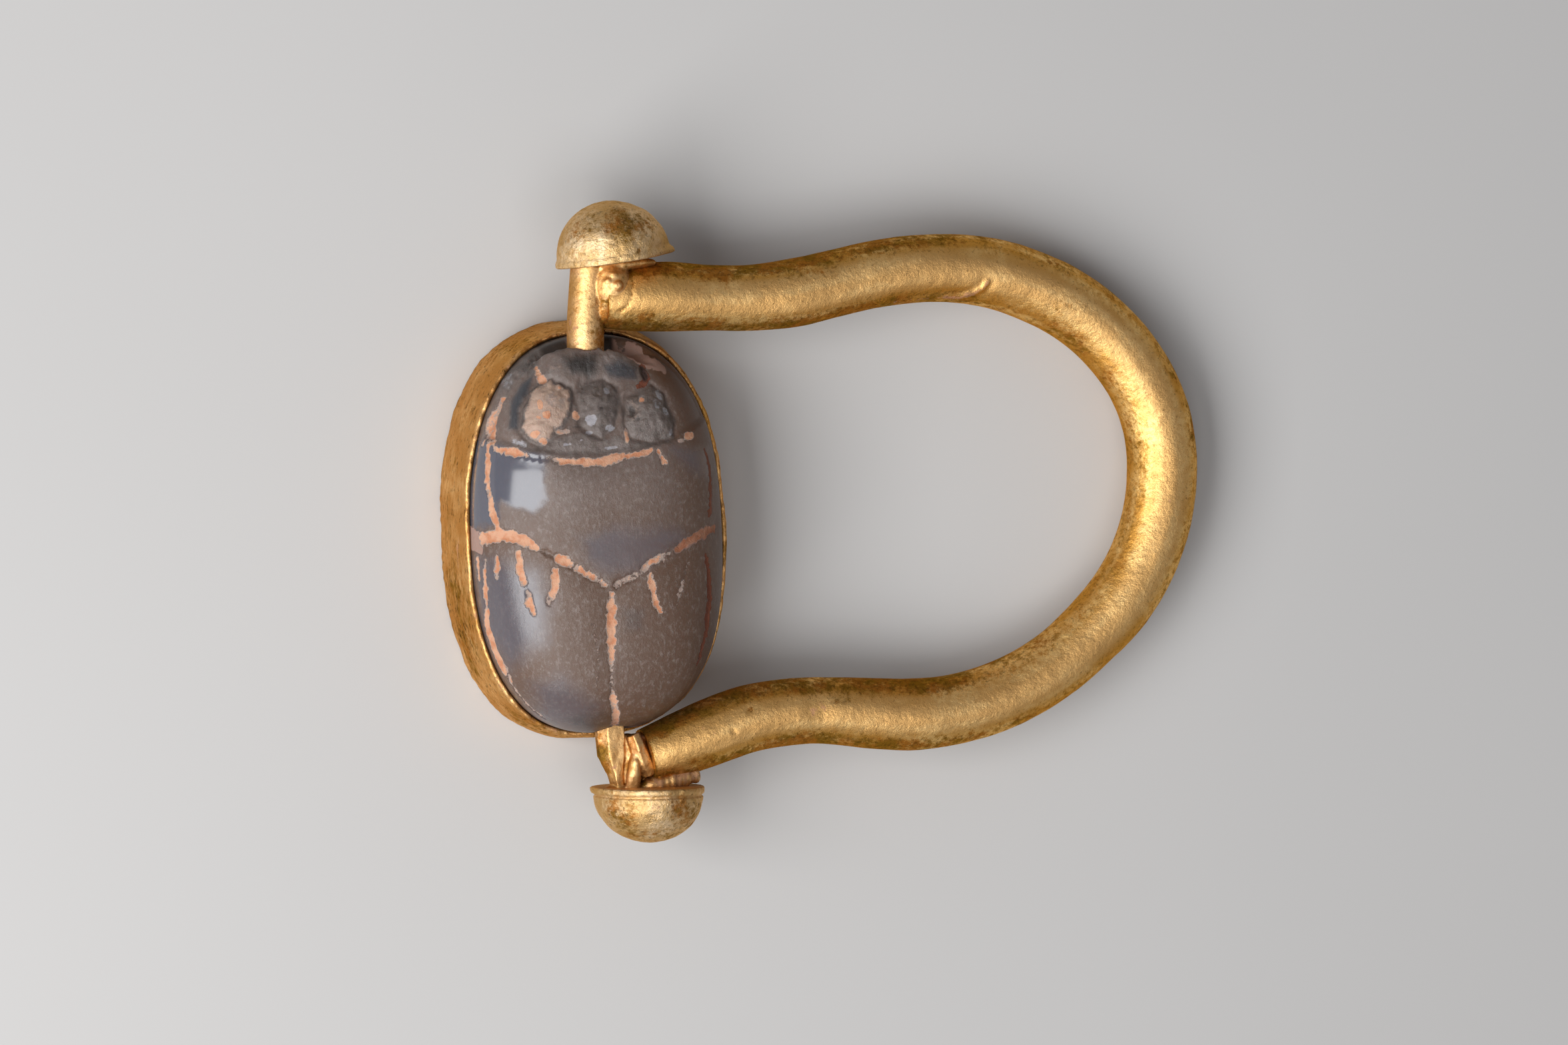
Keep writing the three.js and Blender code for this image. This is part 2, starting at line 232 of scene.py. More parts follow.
def soft_noise(points, size, seed):
    """Random values from -1 to 1 that change smoothly over `size` millimetres."""
    table = np.random.default_rng(seed).uniform(-1, 1, (NOISE_CELLS,) * 3)
    grid = np.asarray(points) / size
    base = np.floor(grid).astype(int)
    part = grid - base
    part = part * part * (3 - 2 * part)
    total = np.zeros(len(grid))
    for corner in np.ndindex(2, 2, 2):
        weight = np.prod(np.where(corner, part, 1 - part), axis=1)
        total += weight * table[tuple(((base + corner) % NOISE_CELLS).T)]
    return total


def smooth_step(low, high, value):
    """0 below low, 1 above high, and a smooth rise between them."""
    share = np.clip((value - low) / (high - low), 0, 1)
    return share * share * (3 - 2 * share)


def bell(distance, width):
    """1 at no distance, falling smoothly to almost 0 at twice the width."""
    return np.exp(-((distance / width) ** 2))


# %% [markdown]
# The stone and its bezel share one outline: an oval a little squarer than an ellipse, that leans
# slightly to one side. A superellipse gives it from a width, a length and a power. The same rule
# tells how far out any place of the back lies, and so how high the back rises there: boxy
# lengthwise, round crosswise, and lower towards the head.

# %% the oval and the back
OUTLINE_POWER = 2.4
OUTLINE_LEAN = 0.025
BEZEL_BASE = np.array([5.75, 8.62])
BEZEL_RIM = np.array([5.42, 8.32])
BEZEL_WALL = 0.2
STONE_GAP = 0.04
STONE_BASE = BEZEL_BASE - BEZEL_WALL - STONE_GAP
STONE_SHOULDER = BEZEL_RIM - BEZEL_WALL - STONE_GAP
RIM_HEIGHT_SIDES = 3.55
RIM_HEIGHT_ENDS = 2.4
STONE_ABOVE_RIM = 0.05
STONE_TOP = 7.0
HEAD_SLOPE_START = 2.0
HEAD_SLOPE_END = 7.3
HEAD_SLOPE_DROP = 0.3


def bent(value):
    """A sine or cosine, bent towards the corners of the outline."""
    return np.sign(value) * np.abs(value) ** (2 / OUTLINE_POWER)


def oval(angle, half_sizes, height):
    """Points of the outline at these angles, at a height."""
    y = half_sizes[1] * bent(np.sin(angle))
    x = half_sizes[0] * bent(np.cos(angle)) + OUTLINE_LEAN * y
    return np.stack([x, y, np.broadcast_to(height, x.shape)], axis=-1)


def oval_shares(x, y, half_sizes):
    """How far out a place lies across and along the oval; together they reach 1 at the outline."""
    across = np.abs((x - OUTLINE_LEAN * y) / half_sizes[0]) ** OUTLINE_POWER
    along = np.abs(y / half_sizes[1]) ** OUTLINE_POWER
    return across, along


def place_in_oval(x, y, half_sizes):
    """How far out a place lies, 0 to 1, and how much that is lengthwise, 0 to 1."""
    across, along = oval_shares(x, y, half_sizes)
    rho = np.minimum(1, (across + along) ** (1 / OUTLINE_POWER))
    return rho, along / np.maximum(across + along, 1e-9)


def rim_height(share):
    """The rim dips at the head and tail, where the pivots pass over it."""
    return RIM_HEIGHT_SIDES + (RIM_HEIGHT_ENDS - RIM_HEIGHT_SIDES) * share**3


def back_height(x, y):
    """How high the smooth back stands over a place."""
    rho, share = place_in_oval(x, y, STONE_SHOULDER)
    shoulder = rim_height(share) + STONE_ABOVE_RIM
    near_head = np.clip((y - HEAD_SLOPE_START) / (HEAD_SLOPE_END - HEAD_SLOPE_START), 0, 1)
    fall = 1 - HEAD_SLOPE_DROP * near_head**1.5
    crown = (1 - rho ** (2.4 + 2 * share)) ** (1 / (2 + 1.2 * share))
    return shoulder + (STONE_TOP - shoulder) * fall * crown


def on_back(places):
    """Places in plan, raised to the smooth back."""
    x, y = np.asarray(places, float).T
    return np.column_stack([x, y, back_height(x, y)])


# %% [markdown]
# Every finish is a small network of nodes. Patterns read Object coordinates, scaled so that one
# unit is a millimetre, and values stored on the points say where earth, wear or a coat lies.

# %% nodes and their sockets
def add_node(tree, kind, links=None, **settings):
    """A node whose inputs are joined to sockets or set to values, by name or by number."""
    node = tree.nodes.new(kind)
    for title, value in settings.items():
        setattr(node, title, value)
    for title, value in (links or {}).items():
        socket = node.inputs[title]
        if isinstance(value, bpy.types.NodeSocket):
            tree.links.new(value, socket)
        else:
            socket.default_value = value
    return node


def socket_name(title):
    """A shader's input as it is named there: specular_ior_level is Specular IOR Level."""
    return title.replace("_", " ").title().replace("Ior", "IOR")


def opaque(tone):
    """A colour with its alpha, or a socket as it is."""
    return tone if isinstance(tone, bpy.types.NodeSocket) else (*tone, 1)


# %% a finish in the making
class Finish:
    """A material being built, with short names for the steps that the finishes share."""

    def __init__(self, name, **plain):
        self.material = bpy.data.materials.new(name)
        self.material.use_nodes = True
        self.tree = self.material.node_tree
        self.shader = self.tree.nodes["Principled BSDF"]
        for title, value in plain.items():
            self.shader.inputs[socket_name(title)].default_value = value
        coordinates = self.add("ShaderNodeTexCoord").outputs["Object"]
        self.place = self.vector("SCALE", {0: coordinates, "Scale": 1 / MM})

    def add(self, kind, links=None, **settings):
        return add_node(self.tree, kind, links, **settings)

    def vector(self, operation, links):
        return self.add("ShaderNodeVectorMath", links, operation=operation).outputs[0]

    def maths(self, operation, first, second):
        return self.add("ShaderNodeMath", {0: first, 1: second}, operation=operation).outputs[0]

    def plus(self, first, second):
        return self.maths("ADD", first, second)

    def minus(self, first, second):
        return self.maths("SUBTRACT", first, second)

    def times(self, first, second):
        return self.maths("MULTIPLY", first, second)

    def larger(self, first, second):
        return self.maths("MAXIMUM", first, second)

    def stored(self, title):
        """A value that is kept on the points of the piece."""
        return self.add("ShaderNodeAttribute", attribute_name=title).outputs["Fac"]

    def noise(self, per_mm, detail=2.0, shift=0.0, roughness=0.55, stretch=None):
        """A cloudy pattern. Its shift moves it aside, so that no two patterns agree."""
        place = self.vector("MULTIPLY", {0: self.place, 1: stretch}) if stretch else self.place
        moved = self.vector("ADD", {0: place, 1: (shift, shift * 0.7, -shift)})
        links = {"Vector": moved, "Scale": per_mm, "Detail": detail, "Roughness": roughness}
        return self.add("ShaderNodeTexNoise", links).outputs["Fac"]

    def rise(self, value, low, high):
        """0 below low and 1 above high."""
        links = {"Value": value, "From Min": low, "From Max": high}
        return self.add("ShaderNodeMapRange", links, interpolation_type="SMOOTHSTEP").outputs[0]

    def mix(self, share, first, second):
        """A colour, from first to second by share."""
        links = {0: share, 6: opaque(first), 7: opaque(second)}
        return self.add("ShaderNodeMix", links, data_type="RGBA").outputs[2]

    def blend(self, share, first, second):
        """A number, from first to second by share."""
        links = {0: share, 2: first, 3: second}
        return self.add("ShaderNodeMix", links, data_type="FLOAT").outputs[0]

    def bump(self, height_mm):
        """Relief from a height in millimetres."""
        links = {"Height": self.times(height_mm, MM), "Distance": 1.0, "Strength": 1.0}
        return self.add("ShaderNodeBump", links).outputs[0]

    def use(self, **sockets):
        """Joins the last steps to the shader, and gives the finished material."""
        for title, socket in sockets.items():
            self.tree.links.new(socket, self.shader.inputs[socket_name(title)])
        return self.material


# %% [markdown]
# The stone's mesh is a grid of squares pressed into the oval, because a grid keeps its squares
# even where fans of triangles would bunch up. Rings carry its edge down to the flat seal face,
# which has a shallow engraved border.

# %% the smooth stone
STONE_COLUMNS = 236
STONE_ROWS = 304
SIDE_RINGS = 7
FACE_BEVEL = 0.12
BORDER_INSET = 0.85
BORDER_WIDTH = 0.26
BORDER_DEPTH = 0.12


def stone_grid():
    """Points of the smooth back on a grid, and the indices of its edge in order."""
    u, v = np.meshgrid(np.linspace(-1, 1, STONE_COLUMNS + 1), np.linspace(-1, 1, STONE_ROWS + 1))
    disc_x = u * np.sqrt(1 - v * v / 2)
    disc_y = v * np.sqrt(1 - u * u / 2)
    reach = np.minimum(1, np.hypot(disc_x, disc_y))
    spread = (np.abs(disc_x) ** OUTLINE_POWER + np.abs(disc_y) ** OUTLINE_POWER) ** (1 / OUTLINE_POWER)
    scale = np.sin(math.pi / 2 * reach) / np.maximum(spread, 1e-9)
    y = STONE_SHOULDER[1] * disc_y * scale
    x = STONE_SHOULDER[0] * disc_x * scale + OUTLINE_LEAN * y
    index = np.arange(x.size).reshape(x.shape)
    edge = np.concatenate([index[0, :-1], index[:-1, -1], index[-1, :0:-1], index[:0:-1, 0]])
    squares = np.stack([index[:-1, :-1], index[:-1, 1:], index[1:, 1:], index[1:, :-1]], axis=-1)
    return np.column_stack([x.ravel(), y.ravel()]), edge, squares.reshape(-1, 4)


def smooth_stone():
    """The blank's points and faces, and how many of the points are on its back."""
    plan, edge, squares = stone_grid()
    back = on_back(plan)
    shoulder = back[edge]
    outward = STONE_BASE / STONE_SHOULDER
    base = np.column_stack([shoulder[:, :2] * outward, np.zeros(len(edge))])
    rings = []
    for step in range(1, SIDE_RINGS + 1):
        share = step / SIDE_RINGS
        ring = shoulder * (1 - share) + base * share
        ring[:, 2] = np.maximum(ring[:, 2], FACE_BEVEL)
        rings.append(ring)
    steps = [
        (FACE_BEVEL, 0),
        (BORDER_INSET, 0),
        (BORDER_INSET + BORDER_WIDTH / 2, BORDER_DEPTH),
        (BORDER_INSET + BORDER_WIDTH, 0),
        (BORDER_INSET * 3, 0),
    ]
    for inset, height in steps:
        ring = base[:, :2] * (STONE_BASE - inset) / STONE_BASE
        rings.append(np.column_stack([ring, np.full(len(edge), height)]))
    points = np.vstack([back, *rings, [[0, 0, 0]]])
    faces = [tuple(square) for square in squares]
    count = len(edge)
    loops = [edge] + [len(back) + count * k + np.arange(count) for k in range(len(rings))]
    for upper, lower in zip(loops, loops[1:]):
        following = np.roll(upper, -1), np.roll(lower, -1)
        faces.extend(zip(lower, following[1], following[0], upper))
    middle = len(points) - 1
    faces.extend((middle, b, a) for a, b in zip(loops[-1], np.roll(loops[-1], -1)))
    return points, faces, len(back)


stone_points, stone_faces, back_count = smooth_stone()
print("stone blank:", len(stone_faces), "faces,", back_count, "points on the back")

# %% [markdown]
# The stone is chalcedony: clear blue-grey where its polish has lasted, and taupe where fine
# scratches have dulled it to a streaky frost. The blue of the polish on the left side is partly a
# painted sheen of the softbox on that side. Earth has stained its right flank red-brown. Salmon
# earth fills the strokes, and the broken head is a crust of dark and pale crystals.

# %% the stone's colours
# The milky blue is the polish's tone on the left side, and partly a painted sheen of the left softbox.
MILKY_BLUE_AND_SHEEN = (0.082, 0.082, 0.102)
LAVENDER = (0.106, 0.086, 0.091)
TAUPE = (0.122, 0.086, 0.071)
DIM_TAUPE = (0.094, 0.050, 0.030)
FROST = (0.237, 0.195, 0.176)
RED_BROWN = (0.095, 0.040, 0.019)
SALMON = (0.54, 0.29, 0.18)
DEEP_SALMON = (0.46, 0.19, 0.095)
PALE_EARTH = (0.33, 0.245, 0.205)
PINK_CLAY = (0.33, 0.205, 0.165)
DARK_EARTH = (0.141, 0.035, 0.012)
CLEAR_GREY = (0.042, 0.042, 0.047)
CRUST_DARK = (0.094, 0.072, 0.062)
CRUST_PALE = (0.165, 0.136, 0.124)
TAN_CRUST = (0.40, 0.275, 0.21)
CRYSTAL = (0.294, 0.282, 0.301)
SHADOW = (0.014, 0.010, 0.008)


# %% the stone's finish
def make_stone_finish():
    finish = Finish(
        "chalcedony", specular_ior_level=0.6, subsurface_weight=0.15, subsurface_scale=0.4 * MM,
    )
    x, y, _ = finish.add("ShaderNodeSeparateXYZ", {0: finish.place}).outputs
    clouds = finish.noise(0.42, detail=3.0, shift=5)
    across = finish.plus(x, finish.times(clouds, 2.4))
    polish = finish.stored("polish")
    # Polished places go from blue on the left to lavender on the right; the blue is partly a painted sheen.
    clear_tone_and_sheen = finish.mix(finish.rise(across, -2.4, 2.4), MILKY_BLUE_AND_SHEEN, LAVENDER)
    towards_tail = finish.rise(finish.plus(y, finish.times(clouds, -3.0)), 1.6, -2.6)
    darker = finish.larger(finish.rise(across, 2.6, 5.6), towards_tail)
    colour = finish.mix(polish, finish.mix(darker, TAUPE, DIM_TAUPE), clear_tone_and_sheen)
    grain = finish.noise(6.0, detail=5.0, shift=9, roughness=0.85, stretch=(1, 0.6, 1))
    frost = finish.times(finish.rise(grain, 0.49, 0.66), finish.blend(polish, 0.5, 0.05))
    colour = finish.mix(frost, colour, FROST)
    pores = finish.times(finish.rise(grain, 0.46, 0.34), finish.blend(polish, 0.5, 0.08))
    colour = finish.mix(pores, colour, RED_BROWN)

    # The broken head, and the coat, the clear places and the crystals over it.
    crumble = finish.noise(5.5, detail=5.0, shift=61, roughness=0.75)
    loose = finish.times(finish.minus(crumble, 0.5), 1.3)
    broken = finish.stored("broken")
    flakes = finish.rise(finish.noise(2.4, detail=6.0, shift=23, roughness=0.7), 0.40, 0.66)
    tan = finish.rise(finish.plus(finish.stored("tan"), loose), 0.35, 0.95)
    rubble = finish.mix(tan, finish.mix(flakes, CRUST_DARK, CRUST_PALE), TAN_CRUST)
    colour = finish.mix(broken, colour, rubble)
    coat = finish.mix(finish.rise(crumble, 0.4, 0.6), RED_BROWN, DIM_TAUPE)
    colour = finish.mix(finish.stored("coat"), colour, coat)
    clear = finish.stored("clear")
    colour = finish.mix(clear, colour, CLEAR_GREY)
    crystal = finish.rise(finish.plus(finish.stored("crystal"), loose), 0.35, 0.6)
    colour = finish.mix(finish.times(crystal, 0.85), colour, CRYSTAL)

    # Clay and earth lie over all of that, pale where they are thin.
    clay = finish.rise(finish.plus(finish.stored("clay"), loose), 0.45, 0.6)
    level = finish.plus(finish.stored("earth"), loose)
    thin = finish.rise(level, 0.32, 0.44)
    thick = finish.rise(level, 0.60, 0.74)
    patches = finish.rise(finish.noise(2.4, detail=4.0, shift=81), 0.4, 0.62)
    soil = finish.mix(thick, PALE_EARTH, finish.mix(patches, SALMON, DEEP_SALMON))
    soil = finish.mix(finish.stored("red"), soil, DARK_EARTH)
    colour = finish.mix(finish.times(clay, 0.85), colour, PINK_CLAY)
    colour = finish.mix(thin, colour, soil)
    # A painted shadow darkens the hollows, the mouth, the tail, the ruts and the small dark spots.
    colour = finish.mix(finish.stored("painted_shade"), colour, SHADOW)

    # Polish shines, the rest is dull, and earth is duller still.
    gloss = finish.blend(polish, 0.40, 0.15)
    gloss = finish.blend(broken, gloss, 0.36)
    gloss = finish.blend(clear, gloss, 0.12)
    gloss = finish.blend(finish.larger(thin, clay), gloss, 0.85)
    scratches = finish.times(grain, finish.blend(polish, 0.030, 0.001))
    grit = finish.times(crumble, finish.times(finish.larger(thin, broken), 0.05))
    normal = finish.bump(finish.plus(scratches, grit))
    return finish.use(base_color=colour, roughness=gloss, normal=normal)


stone_finish = make_stone_finish()
print("chalcedony:", len(stone_finish.node_tree.nodes), "nodes")

# %% [markdown]
# The beetle is drawn with few strokes: a line behind the head, a V between the wing cases, the
# seam between them and short ticks on the flanks. Earth has filled most of them nearly flush.
# Each stroke is a row of places, with its width and how full of earth it is at each, because the
# graver's pressure and the filling both change along it. A smooth curve joins the places.

# %% the strokes
# x, y, width, earth
STROKES = {
    "head_line": [
        (-4.19, 3.97, 0.14, 0.9), (-3.7, 3.84, 0.26, 1), (-3.31, 3.72, 0.22, 0.9), (-2.9, 3.6, 0.12, 0.3),
        (-2.3, 3.48, 0.12, 0.35), (-1.9, 3.38, 0.18, 0.85), (-1.42, 3.28, 0.22, 1), (-0.4, 3.21, 0.32, 1),
        (0.2, 3.27, 0.36, 1), (0.7, 3.33, 0.24, 0.9), (1.1, 3.36, 0.2, 0.95), (1.86, 3.46, 0.16, 0.9),
    ],
    "head_tick": [(2.17, 3.38, 0.22, 0.8), (2.36, 2.95, 0.16, 0.9)],
    "cross_tick": [(-4.62, 4.18, 0.16, 0.7), (-4.28, 4.21, 0.18, 0.8)],
    "cheek": [
        (-4.3, 4.3, 0.2, 0.6), (-4.3, 4.6, 0.6, 0.75), (-4.26, 5.0, 0.72, 0.72), (-4.15, 5.4, 0.5, 0.7),
        (-3.95, 5.75, 0.2, 0.6), (-3.75, 6.05, 0.26, 0.8),
    ],
    "left_flank": [
        (-4.42, 4.1, 0.2, 0.9), (-4.58, 2.9, 0.24, 1), (-4.6, 2.2, 0.2, 0.7), (-4.55, 1.42, 0.26, 1),
        (-4.38, 0.6, 0.22, 1),
    ],
    "left_shoulder": [
        (-4.95, 0.36, 0.5, 1), (-4.4, 0.47, 0.46, 1), (-3.85, 0.39, 0.42, 1), (-3.4, 0.16, 0.36, 1),
        (-3.1, -0.08, 0.24, 0.95),
    ],
    "left_wing": [
        (-3.0, -0.15, 0.16, 0), (-2.5, -0.42, 0.16, 0.1), (-2.36, -0.52, 0.28, 1), (-1.95, -0.72, 0.28, 1),
        (-1.72, -0.9, 0.16, 0.4), (-1.5, -1.05, 0.2, 1), (-1.1, -1.35, 0.26, 0.8), (-0.5, -1.75, 0.2, 0.75),
    ],
    "right_wing": [
        (-0.04, -1.84, 0.2, 0.5), (0.49, -1.62, 0.22, 0.55), (0.9, -1.38, 0.2, 0.5), (1.28, -1.12, 0.24, 0.7),
        (1.7, -0.95, 0.16, 0.7), (2.5, -0.68, 0.14, 0.3),
    ],
    "right_shoulder": [
        (2.6, -0.65, 0.2, 0.95), (3.1, -0.45, 0.3, 1), (3.6, -0.25, 0.34, 1), (4.1, -0.12, 0.34, 1),
        (4.6, -0.06, 0.3, 1),
    ],
    "suture": [
        (-0.28, -2.18, 0.2, 0.8), (-0.33, -2.7, 0.34, 1), (-0.38, -3.3, 0.32, 1), (-0.41, -3.8, 0.34, 1),
        (-0.43, -4.5, 0.26, 1), (-0.46, -5.0, 0.14, 0.6), (-0.47, -5.5, 0.12, 0.45),
        (-0.45, -6.1, 0.14, 0.5), (-0.4, -6.45, 0.28, 0.95), (-0.33, -6.8, 0.18, 0.7),
        (-0.2, -7.2, 0.26, 0.95), (-0.15, -7.75, 0.2, 0.9),
    ],
    "old_seam": [
        (-0.92, -2.34, 0.1, 0.1), (-1.1, -3.48, 0.16, 0.3), (-0.98, -4.4, 0.12, 0.36), (-1.1, -6.0, 0.1, 0.3),
    ],
    "left_seam": [
        (-4.91, -0.54, 0.14, 0.6), (-4.95, -1.2, 0.2, 0.9), (-4.97, -1.8, 0.3, 1), (-4.95, -2.4, 0.2, 0.7),
        (-4.95, -3.0, 0.4, 1), (-4.95, -3.9, 0.5, 1), (-4.8, -4.7, 0.55, 1), (-4.6, -5.3, 0.4, 0.95),
    ],
    "left_edge": [
        (-4.4, -4.9, 0.12, 0.5), (-4.2, -5.5, 0.24, 0.65), (-4.0, -6.1, 0.14, 0.5),
        (-3.6, -6.75, 0.2, 0.6), (-3.0, -7.35, 0.14, 0.5),
    ],
    "right_seam": [
        (3.97, -1.0, 0.12, 0.9), (4.05, -1.8, 0.2, 1), (4.05, -2.7, 0.26, 1), (3.9, -3.5, 0.26, 1),
        (3.76, -4.2, 0.2, 0.95), (3.3, -5.5, 0.14, 0.7),
    ],
    "right_flank": [
        (4.33, 3.2, 0.12, 0.9), (4.5, 2.4, 0.16, 1), (4.44, 1.4, 0.16, 0.9), (4.31, 0.56, 0.18, 0.9),
    ],
    "edge_tick": [(-5.12, -0.57, 0.24, 0.85), (-5.14, -1.25, 0.12, 0.8)],
    "outer_tick": [(-4.54, -0.39, 0.18, 0.8), (-4.56, -0.8, 0.22, 0.85), (-4.59, -1.26, 0.1, 0.6)],
    "long_tick": [
        (-3.8, -0.3, 0.3, 0.95), (-3.76, -0.8, 0.3, 1), (-3.7, -1.28, 0.28, 1), (-3.6, -1.75, 0.16, 0.5),
        (-3.5, -2.3, 0.28, 0.95), (-3.44, -2.66, 0.2, 0.8),
    ],
    "middle_tick": [
        (-2.49, -1.06, 0.3, 0.85), (-2.5, -1.4, 0.26, 0.95), (-2.54, -1.77, 0.26, 0.9),
        (-2.7, -2.1, 0.2, 0.65), (-2.79, -2.34, 0.12, 0.5),
    ],
    "right_tick": [
        (1.4, -1.54, 0.14, 0.9), (1.43, -1.9, 0.22, 1), (1.46, -2.27, 0.22, 1), (1.56, -2.7, 0.24, 1),
        (1.7, -3.06, 0.14, 0.85),
    ],
    "faint_tick": [
        (3.13, -1.24, 0.1, 0.4), (2.9, -1.7, 0.1, 0.3), (2.77, -1.99, 0.1, 0.45),
        (2.45, -2.75, 0.14, 0.55),
    ],
    "brow_right": [(1.85, 6.1, 0.16, 0.9), (2.05, 6.2, 0.24, 1), (2.2, 6.5, 0.3, 1), (2.1, 6.85, 0.14, 0.8)],
    "brow_left": [(-2.2, 7.1, 0.16, 0.9), (-2.08, 6.65, 0.3, 0.95)],
}
RED_STROKES = {"right_shoulder": 0.55, "right_seam": 1.0, "right_flank": 0.9, "brow_right": 1.0}
DEEP_STROKES = ("head_line", "left_shoulder", "left_wing", "right_wing", "right_shoulder", "suture")
FAINT_STROKES = {"old_seam": 0.12, "faint_tick": 0.4}
print(len(STROKES), "strokes through", sum(map(len, STROKES.values())), "places")

# %% [markdown]
# A stroke is a narrow groove, and a deep one lies in a shallow valley where its edges have worn
# round. Each point of the back looks for the closest place of each stroke near it: that gives how
# deep the point is cut, and how much earth lies on it.

# %% cutting the strokes
GROOVE_DEPTH = 0.17
GROOVE_FULL_WIDTH = 0.26
EARTH_LEVEL = 0.75
VALLEY_DEPTH = 0.07
VALLEY_WIDTH = 0.5
TICK_VALLEY = 0.15
STROKE_LIMIT = 0.985
STROKE_SPACING = 0.1
STROKE_REACH = 1.2


def smooth_rows(rows, spacing):
    """Rows of numbers on a smooth curve through the given rows, about `spacing` apart in plan."""
    rows = np.asarray(rows, float)
    padded = np.vstack([2 * rows[0] - rows[1], rows, 2 * rows[-1] - rows[-2]])
    found = []
    for a, b, c, d in zip(padded, padded[1:], padded[2:], padded[3:]):
        count = max(2, int(np.hypot(*(c - b)[:2]) / spacing))
        for t in np.arange(count) / count:
            bend = (2 * a - 5 * b + 4 * c - d) * t * t + (3 * b - a - 3 * c + d) * t**3
            found.append(0.5 * (2 * b + (c - a) * t + bend))
    found.append(rows[-1])
    return np.array(found)


def kept_on_back(places):
    """Places of a stroke on the back, those beyond its edge drawn in to it."""
    places = np.asarray(places, float)
    across, along = oval_shares(*places.T, STONE_SHOULDER)
    reach = (across + along) ** (1 / OUTLINE_POWER)
    return on_back(places * np.minimum(1, STROKE_LIMIT / np.maximum(reach, 1e-9))[:, None])


def engrave(points):
    """What the strokes do to points of the back: how deep they cut, their earth, and its redness."""
    depth, earth, red = np.zeros((3, len(points)))
    ragged = 0.06 * soft_noise(points, 0.33, 11) + 0.075 * soft_noise(points, 0.12, 12)
    for name, rows in STROKES.items():
        line = smooth_rows(rows, STROKE_SPACING)
        path = kept_on_back(line[:, :2])
        low = path.min(axis=0) - STROKE_REACH
        high = path.max(axis=0) + STROKE_REACH
        near = np.flatnonzero(np.all((points > low) & (points < high), axis=1))
        away = np.linalg.norm(points[near, None] - path[None], axis=2)
        closest = away.argmin(axis=1)
        distance = away[np.arange(len(near)), closest]
        gap = distance + ragged[near]
        half = line[closest, 2] / 2
        filled = np.clip(line[closest, 3], 0, 1)
        inside = 1 - smooth_step(half * 0.7, half * 1.1 + 0.04, gap)
        strength = np.minimum(1, half / (GROOVE_FULL_WIDTH / 2)) * FAINT_STROKES.get(name, 1)
        cut = GROOVE_DEPTH * strength * inside * (1 - EARTH_LEVEL * filled)
        valley = VALLEY_DEPTH if name in DEEP_STROKES else VALLEY_DEPTH * TICK_VALLEY
        valley = valley * strength * bell(distance, VALLEY_WIDTH)
        depth[near] = np.maximum(depth[near], cut + valley)
        amount = filled * (1 - smooth_step(half * 0.6, half * 1.25 + 0.09, gap))
        redder = amount > earth[near]
        red[near] = np.where(redder, RED_STROKES.get(name, 0), red[near])
        earth[near] = np.maximum(earth[near], amount)
    return depth, earth, red
